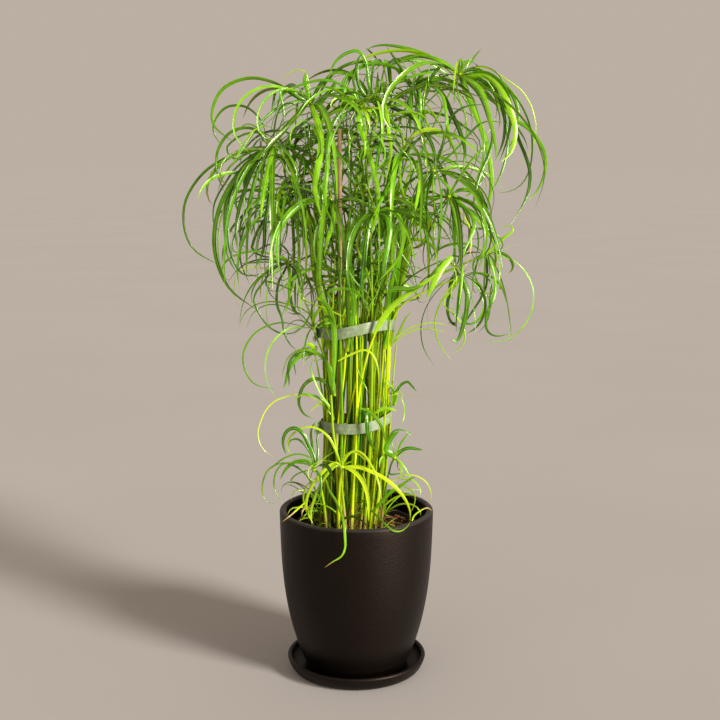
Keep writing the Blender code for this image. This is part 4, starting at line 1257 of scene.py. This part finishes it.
class SEDGE_OT_culms(bpy.types.Operator):
    """Grow a round culm along each culm of the frame"""
    bl_idname = "sedge.culms"
    bl_label = "Culms"

    def execute(self, context):
        settings, rng, limbs = plant_start(context, 2)
        green = look("sedge_culm", culm_look, settings)
        for node in sorted(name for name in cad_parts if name.startswith("culm_")):
            route = smooth(gathered(culm_of_frame(node)), 40)
            tint = (rng.uniform(0.1, 0.8), rng.choice((0.1, 0.45, 1.0)) * rng.uniform(0.8, 1), 0,
                    rng.random())
            culm = bent(limbs["culm"], route, 2 * CULM_RADIUS * rng.uniform(0.66, 0.95), tint, slim=0.5)
            piece(named(culm, "sedge_" + node), "culm_green", green, node)
        drop(limbs.values())
        return {"FINISHED"}


class SEDGE_OT_crowns(bpy.types.Operator):
    """Grow a crown of blades on each crown of the frame, with finer blades and rays between them"""
    bl_idname = "sedge.crowns"
    bl_label = "Crowns"

    def execute(self, context):
        settings, rng, limbs = plant_start(context, 3)
        green = look("sedge_bract", leaf_look, settings)
        for node in sorted(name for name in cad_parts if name.startswith("crown_")):
            crown = self.crown(node, limbs, settings, rng)
            piece(joined(crown, "sedge_" + node), "bract_green", green, node)
        drop(limbs.values())
        return {"FINISHED"}

    def crown(self, node, limbs, settings, rng):
        name = node.removeprefix("crown_")
        heart, tilt, bracts = crown_of_frame(node)
        tint = CROWN_TONES.get(name, USUAL_TONE)
        low = name in LOW_CROWNS
        share = 0.6 if name in THIN_CROWNS else 1
        blades = [knot(limbs, heart, tilt, 0.0030, rng)]
        lengths = []
        for given, width in bracts:
            route = smooth(given, 30)
            lengths.append(length_of(route))
            if name not in OWN_BLADES:
                master = limbs["long" if lengths[-1] > 0.085 else "short"]
                blades.append(bent(
                    master, route, share * width * rng.uniform(0.6, 1.1), tint_of(*tint, rng),
                    usual_tilts(route, rng)))
        for width, paleness, yellowness, dryness, spots in shown_blades(name):
            route = smooth(from_photo(spots, heart), 34)
            # Its paleness is partly painted light: pale where the blade showed a highlight, dark where it
            # lay in shade
            tone_and_painted_light = (0.8 * paleness, yellowness ** 1.5, dryness, rng.random())
            blades.append(bent(limbs["long"], route, width, tone_and_painted_light, facing_tilts(route, rng)))
        reach = float(np.median(lengths))
        rises = (-30, 60) if heart[2] < 0.63 else (0, 75)
        count = settings.more_bracts // 2 if low else settings.more_bracts
        blades += fine_blades(
            limbs, heart, count, 1.1 * reach, (0.0012, 0.0050), rises, (80, 220), tint, low, rng)
        return blades + fine_rays(limbs, heart, settings.rays, rng)


class SEDGE_OT_inner(bpy.types.Operator):
    """Fill the bundle and the head with thinner culms, their small crowns and upright leaves"""
    bl_idname = "sedge.inner"
    bl_label = "Inner shoots"

    def execute(self, context):
        settings, rng, limbs = plant_start(context, 4)
        culms = []
        crowns = []
        count = settings.inner_shoots + settings.young_shoots
        for i in range(count):
            young = i >= settings.inner_shoots
            heart = np.array([rng.uniform(-0.10, 0.11), rng.uniform(-0.07, 0.075), 0])
            heart[2] = rng.uniform(0.57, 0.715) - 0.4 * abs(heart[0] - 0.02)
            if young:
                heart[2] = rng.uniform(0.44, 0.60)
                heart[:2] *= 0.7
            route = self.culm_route(i, heart, rng)
            tint = (rng.uniform(0.0, 0.8), rng.choice((0.0, 0.2, 0.5, 1.0)) * rng.uniform(0.7, 1), 0,
                    rng.random())
            culms.append(bent(limbs["culm"], route, rng.uniform(0.0022, 0.0042), tint, slim=0.5))
            tilt = route[-1] - route[-2]
            blades = [knot(limbs, heart, tilt / np.linalg.norm(tilt), 0.0018, rng)]
            tone = (rng.uniform(0.0, 0.45), 0.08)
            growth = ((3, 0.11, (0.0014, 0.0042), (40, 85), (20, 120)) if young
                      else (7, 0.14, (0.0012, 0.0044), (0, 75), (80, 220)))
            blades += fine_blades(limbs, heart, *growth, tone, False, rng)
            if not young:
                blades += fine_rays(limbs, heart, 4, rng)
            crowns.append(joined(blades, "shoot"))
        # Each culm's paleness is partly painted light: pale where it showed a highlight, dark where it lay
        # in shade
        for width, *tint, spots in shown_blades("bundle"):
            route = smooth(from_photo(spots), 36)
            culms.append(bent(limbs["culm"], route, width, (*tint, rng.random()), slim=0.7))
        green = look("sedge_culm", culm_look, settings)
        piece(joined(culms, "inner_culms"), "culm_green", green)
        bract = look("sedge_bract", leaf_look, settings)
        piece(joined(crowns, "inner_crowns"), "bract_green", bract)
        piece(joined(self.upright(limbs, rng), "upright_leaves"), "bract_green", bract)
        piece(joined(self.low_leaves(limbs, rng), "low_leaves"), "bract_green", bract)
        drop(limbs.values())
        return {"FINISHED"}

    def culm_route(self, i, heart, rng):
        """Up through both ties, wound a little round the bundle, and out to the crown's heart."""
        away = BUNDLE_RADIUS * (0.93, 0.80, 0.55, 0.30)[i % 4] * rng.uniform(0.94, 1.02)
        aim = math.atan2(heart[1], heart[0])
        around = aim + rng.uniform(-1.0, 1.0) if i % 4 > 1 else math.tau * (i * GOLDEN_SHARE % 1)
        points = []
        for height, waist, wound in (
                (SOIL_TOP + 0.001, 1.0, -0.30), (LOWER_TIE, TIE_WAIST, 0), (UPPER_TIE + 0.006, 1.0, 0.30)):
            turn = around + wound + rng.uniform(-0.22, 0.22)
            shift = BASE_SHIFT if height < 0.2 else 0
            points.append(round_bundle(away * waist, turn, height, shift))
        last = np.array(points[-1])
        half_way = last + (heart - last) * (0.42, 0.42, 0.52)
        return smooth(gathered(np.array([*points, half_way, heart - (0, 0, 0.002)])), 36)

    def upright(self, limbs, rng):
        """Strap leaves that stand in the bundle, between the culms, and spread a little at its top."""
        leaves = []
        for i in range(51):
            around = math.tau * (i * GOLDEN_SHARE % 1) + rng.uniform(-0.2, 0.2)
            away = BUNDLE_RADIUS * (0.96, 0.9, 0.7)[i % 3]
            foot, top = ((UPPER_TIE - 0.02, rng.uniform(0.52, 0.64)), (SOIL_TOP, rng.uniform(0.30, 0.43)),
                         (rng.uniform(0.2, 0.28), rng.uniform(0.40, 0.50)))[i % 3]
            spread_out = rng.uniform(1.5, 6)
            points = []
            for height in np.linspace(foot, top, 5):
                waist = np.interp(height, (SOIL_TOP, LOWER_TIE, UPPER_TIE), (1, TIE_WAIST, 1))
                flare = 1 + max(0, height - UPPER_TIE) * spread_out
                turn = around + rng.uniform(-0.12, 0.12)
                points.append(round_bundle(away * waist * flare, turn, height))
            route = smooth(gathered(np.array(points)), 24)
            if hides_cane(route):
                continue
            tint = (rng.uniform(0.0, 0.6), rng.uniform(0, 0.6), rng.uniform(0, 0.2), rng.random())
            width = rng.uniform(0.0050, 0.0078) if i % 3 == 0 else rng.uniform(0.0022, 0.0044)
            leaves.append(bent(limbs["short"], route, width, tint, facing_tilts(route, rng)))
        return leaves

    def low_leaves(self, limbs, rng):
        """Arching leaves round the foot of the bundle, over the soil."""
        leaves = []
        for i in range(40):
            around = math.tau * (i * GOLDEN_SHARE % 1)
            if -1.35 < math.remainder(around, math.tau) < -0.1:
                continue
            away = rng.uniform(0.026, 0.044)
            root = np.array(round_bundle(away, around, SOIL_TOP + 0.001, BASE_SHIFT))
            for attempt in range(TRIES):
                length = rng.uniform(0.05, 0.13) * TRY_SHARE ** attempt
                route = blade_route(
                    root, math.degrees(around) + rng.uniform(-60, 60), rng.uniform(-60, 60),
                    rng.uniform(60, 88), length, rng.uniform(60, 180), rng.uniform(0.1, 0.6),
                    rng.uniform(0, 120))
                if keeps_inside(route[3:], True) and math.hypot(*route[-1][:2]) < 0.10:
                    tint = (rng.uniform(0.1, 0.7), rng.uniform(0, 0.5), rng.choice((0, 0.1, 0.6)),
                            rng.random())
                    leaves.append(bent(limbs["short"], route, rng.uniform(0.0014, 0.0034), tint,
                                       usual_tilts(route, rng)))
                    break
        for _ in range(46):
            around = rng.uniform(0, math.tau)
            away = rng.uniform(0.020, 0.058)
            root = np.array(round_bundle(away, around, SOIL_TOP + 0.002, BASE_SHIFT))
            route = blade_route(root, rng.uniform(0, 360), rng.uniform(-80, 80), rng.uniform(5, 50),
                                rng.uniform(0.012, 0.034), rng.uniform(30, 90), 0.4, count=8)
            route[:, 2] = np.maximum(route[:, 2], SOIL_TOP + 0.002)
            tint = (0.6, rng.uniform(0.2, 0.9), rng.choice((0.6, 2.2)), rng.random())
            leaves.append(bent(limbs["ray"], route, rng.uniform(0.0010, 0.0021), tint))
        return leaves


class SEDGE_OT_strays(bpy.types.Operator):
    """Hang the single blades that cross the bundle and the pot's rim"""
    bl_idname = "sedge.strays"
    bl_label = "Stray blades"

    def execute(self, context):
        settings, rng, limbs = plant_start(context, 5)
        blades = []
        # Each blade's paleness is partly painted light: pale where it showed a highlight, dark where it lay
        # in shade
        for width, *tint, spots in shown_blades("strays"):
            route = smooth(from_photo(spots), 34)
            tint.append(rng.random())
            blades.append(bent(limbs["long"], route, width, tint, facing_tilts(route, rng)))
        piece(joined(blades, "stray_blades"), "bract_green", look("sedge_bract", leaf_look, settings))
        drop(limbs.values())
        return {"FINISHED"}


class SEDGE_OT_stage(bpy.types.Operator):
    """Lay the floor, light it softly and set the camera"""
    bl_idname = "sedge.stage"
    bl_label = "Stage"

    def execute(self, context):
        settings = context.scene.sedge_stage
        clear_selection()
        bpy.ops.mesh.primitive_circle_add(vertices=96, radius=40, fill_type="NGON")
        floor = named(context.object, "studio_floor")
        floor.data.materials.append(look("studio_floor", floor_look, settings))
        world = bpy.data.worlds.new("studio")
        world.use_nodes = True
        light = world.node_tree.nodes["Background"]
        light.inputs["Color"].default_value = (*settings.backdrop, 1)
        light.inputs["Strength"].default_value = settings.around
        context.scene.world = world
        context.scene.view_settings.view_transform = "Standard"
        for name, place, angle, strength, colour in (
                ("key", (1.25, -0.95, 0.82), 14, settings.key, (1, 0.97, 0.92)),
                ("fill", (-1.20, -1.50, 0.62), 60, settings.fill, (1, 0.98, 0.95)),
                ("low", (1.50, -1.25, 0.12), 16, settings.low, (1, 0.98, 0.95))):
            lamp = bpy.data.lights.new(name, "SUN")
            lamp.angle = math.radians(angle)
            lamp.energy = strength
            lamp.color = colour
            thing = bpy.data.objects.new(name, lamp)
            context.scene.collection.objects.link(thing)
            thing.location = place
            thing.rotation_euler = Vector(place).to_track_quat("Z", "Y").to_euler()
        lens = bpy.data.cameras.new("camera")
        lens.sensor_width = SENSOR
        lens.lens = settings.lens
        camera = bpy.data.objects.new("camera", lens)
        camera.location = CAMERA_PLACE
        camera.rotation_euler = (math.pi / 2 - CAMERA_TILT, 0, 0)
        context.scene.collection.objects.link(camera)
        context.scene.camera = camera
        return {"FINISHED"}


class SEDGE_PT_panel(bpy.types.Panel):
    """Lists the settings and the steps"""
    bl_idname = "SEDGE_PT_panel"
    bl_label = "Umbrella sedge"
    bl_space_type = "VIEW_3D"
    bl_region_type = "UI"
    bl_category = "Sedge"

    def draw(self, context):
        for group in GROUPS:
            box = self.layout.box()
            settings = getattr(context.scene, group)
            for field in settings.__annotations__:
                box.prop(settings, field)
        for step in STEPS:
            self.layout.operator(step.bl_idname)


GROUPS = {
    "sedge_pot": PotSettings, "sedge_plant": PlantSettings, "sedge_trim": TrimSettings,
    "sedge_stage": StageSettings}
STEPS = (
    SEDGE_OT_pot, SEDGE_OT_soil, SEDGE_OT_cane, SEDGE_OT_ties, SEDGE_OT_culms, SEDGE_OT_crowns,
    SEDGE_OT_inner, SEDGE_OT_strays, SEDGE_OT_stage)


def register():
    for kind in (*GROUPS.values(), *STEPS, SEDGE_PT_panel):
        bpy.utils.register_class(kind)
    for name, kind in GROUPS.items():
        setattr(bpy.types.Scene, name, PointerProperty(type=kind))


def unregister():
    for name in GROUPS:
        delattr(bpy.types.Scene, name)
    for kind in reversed((*GROUPS.values(), *STEPS, SEDGE_PT_panel)):
        bpy.utils.unregister_class(kind)


def main():
    register()
    bpy.ops.sedge.pot()
    bpy.ops.sedge.soil()
    bpy.ops.sedge.cane()
    bpy.ops.sedge.ties()
    bpy.ops.sedge.culms()
    bpy.ops.sedge.crowns()
    bpy.ops.sedge.inner()
    bpy.ops.sedge.strays()
    bpy.ops.sedge.stage()


if __name__ == "__main__":
    main()
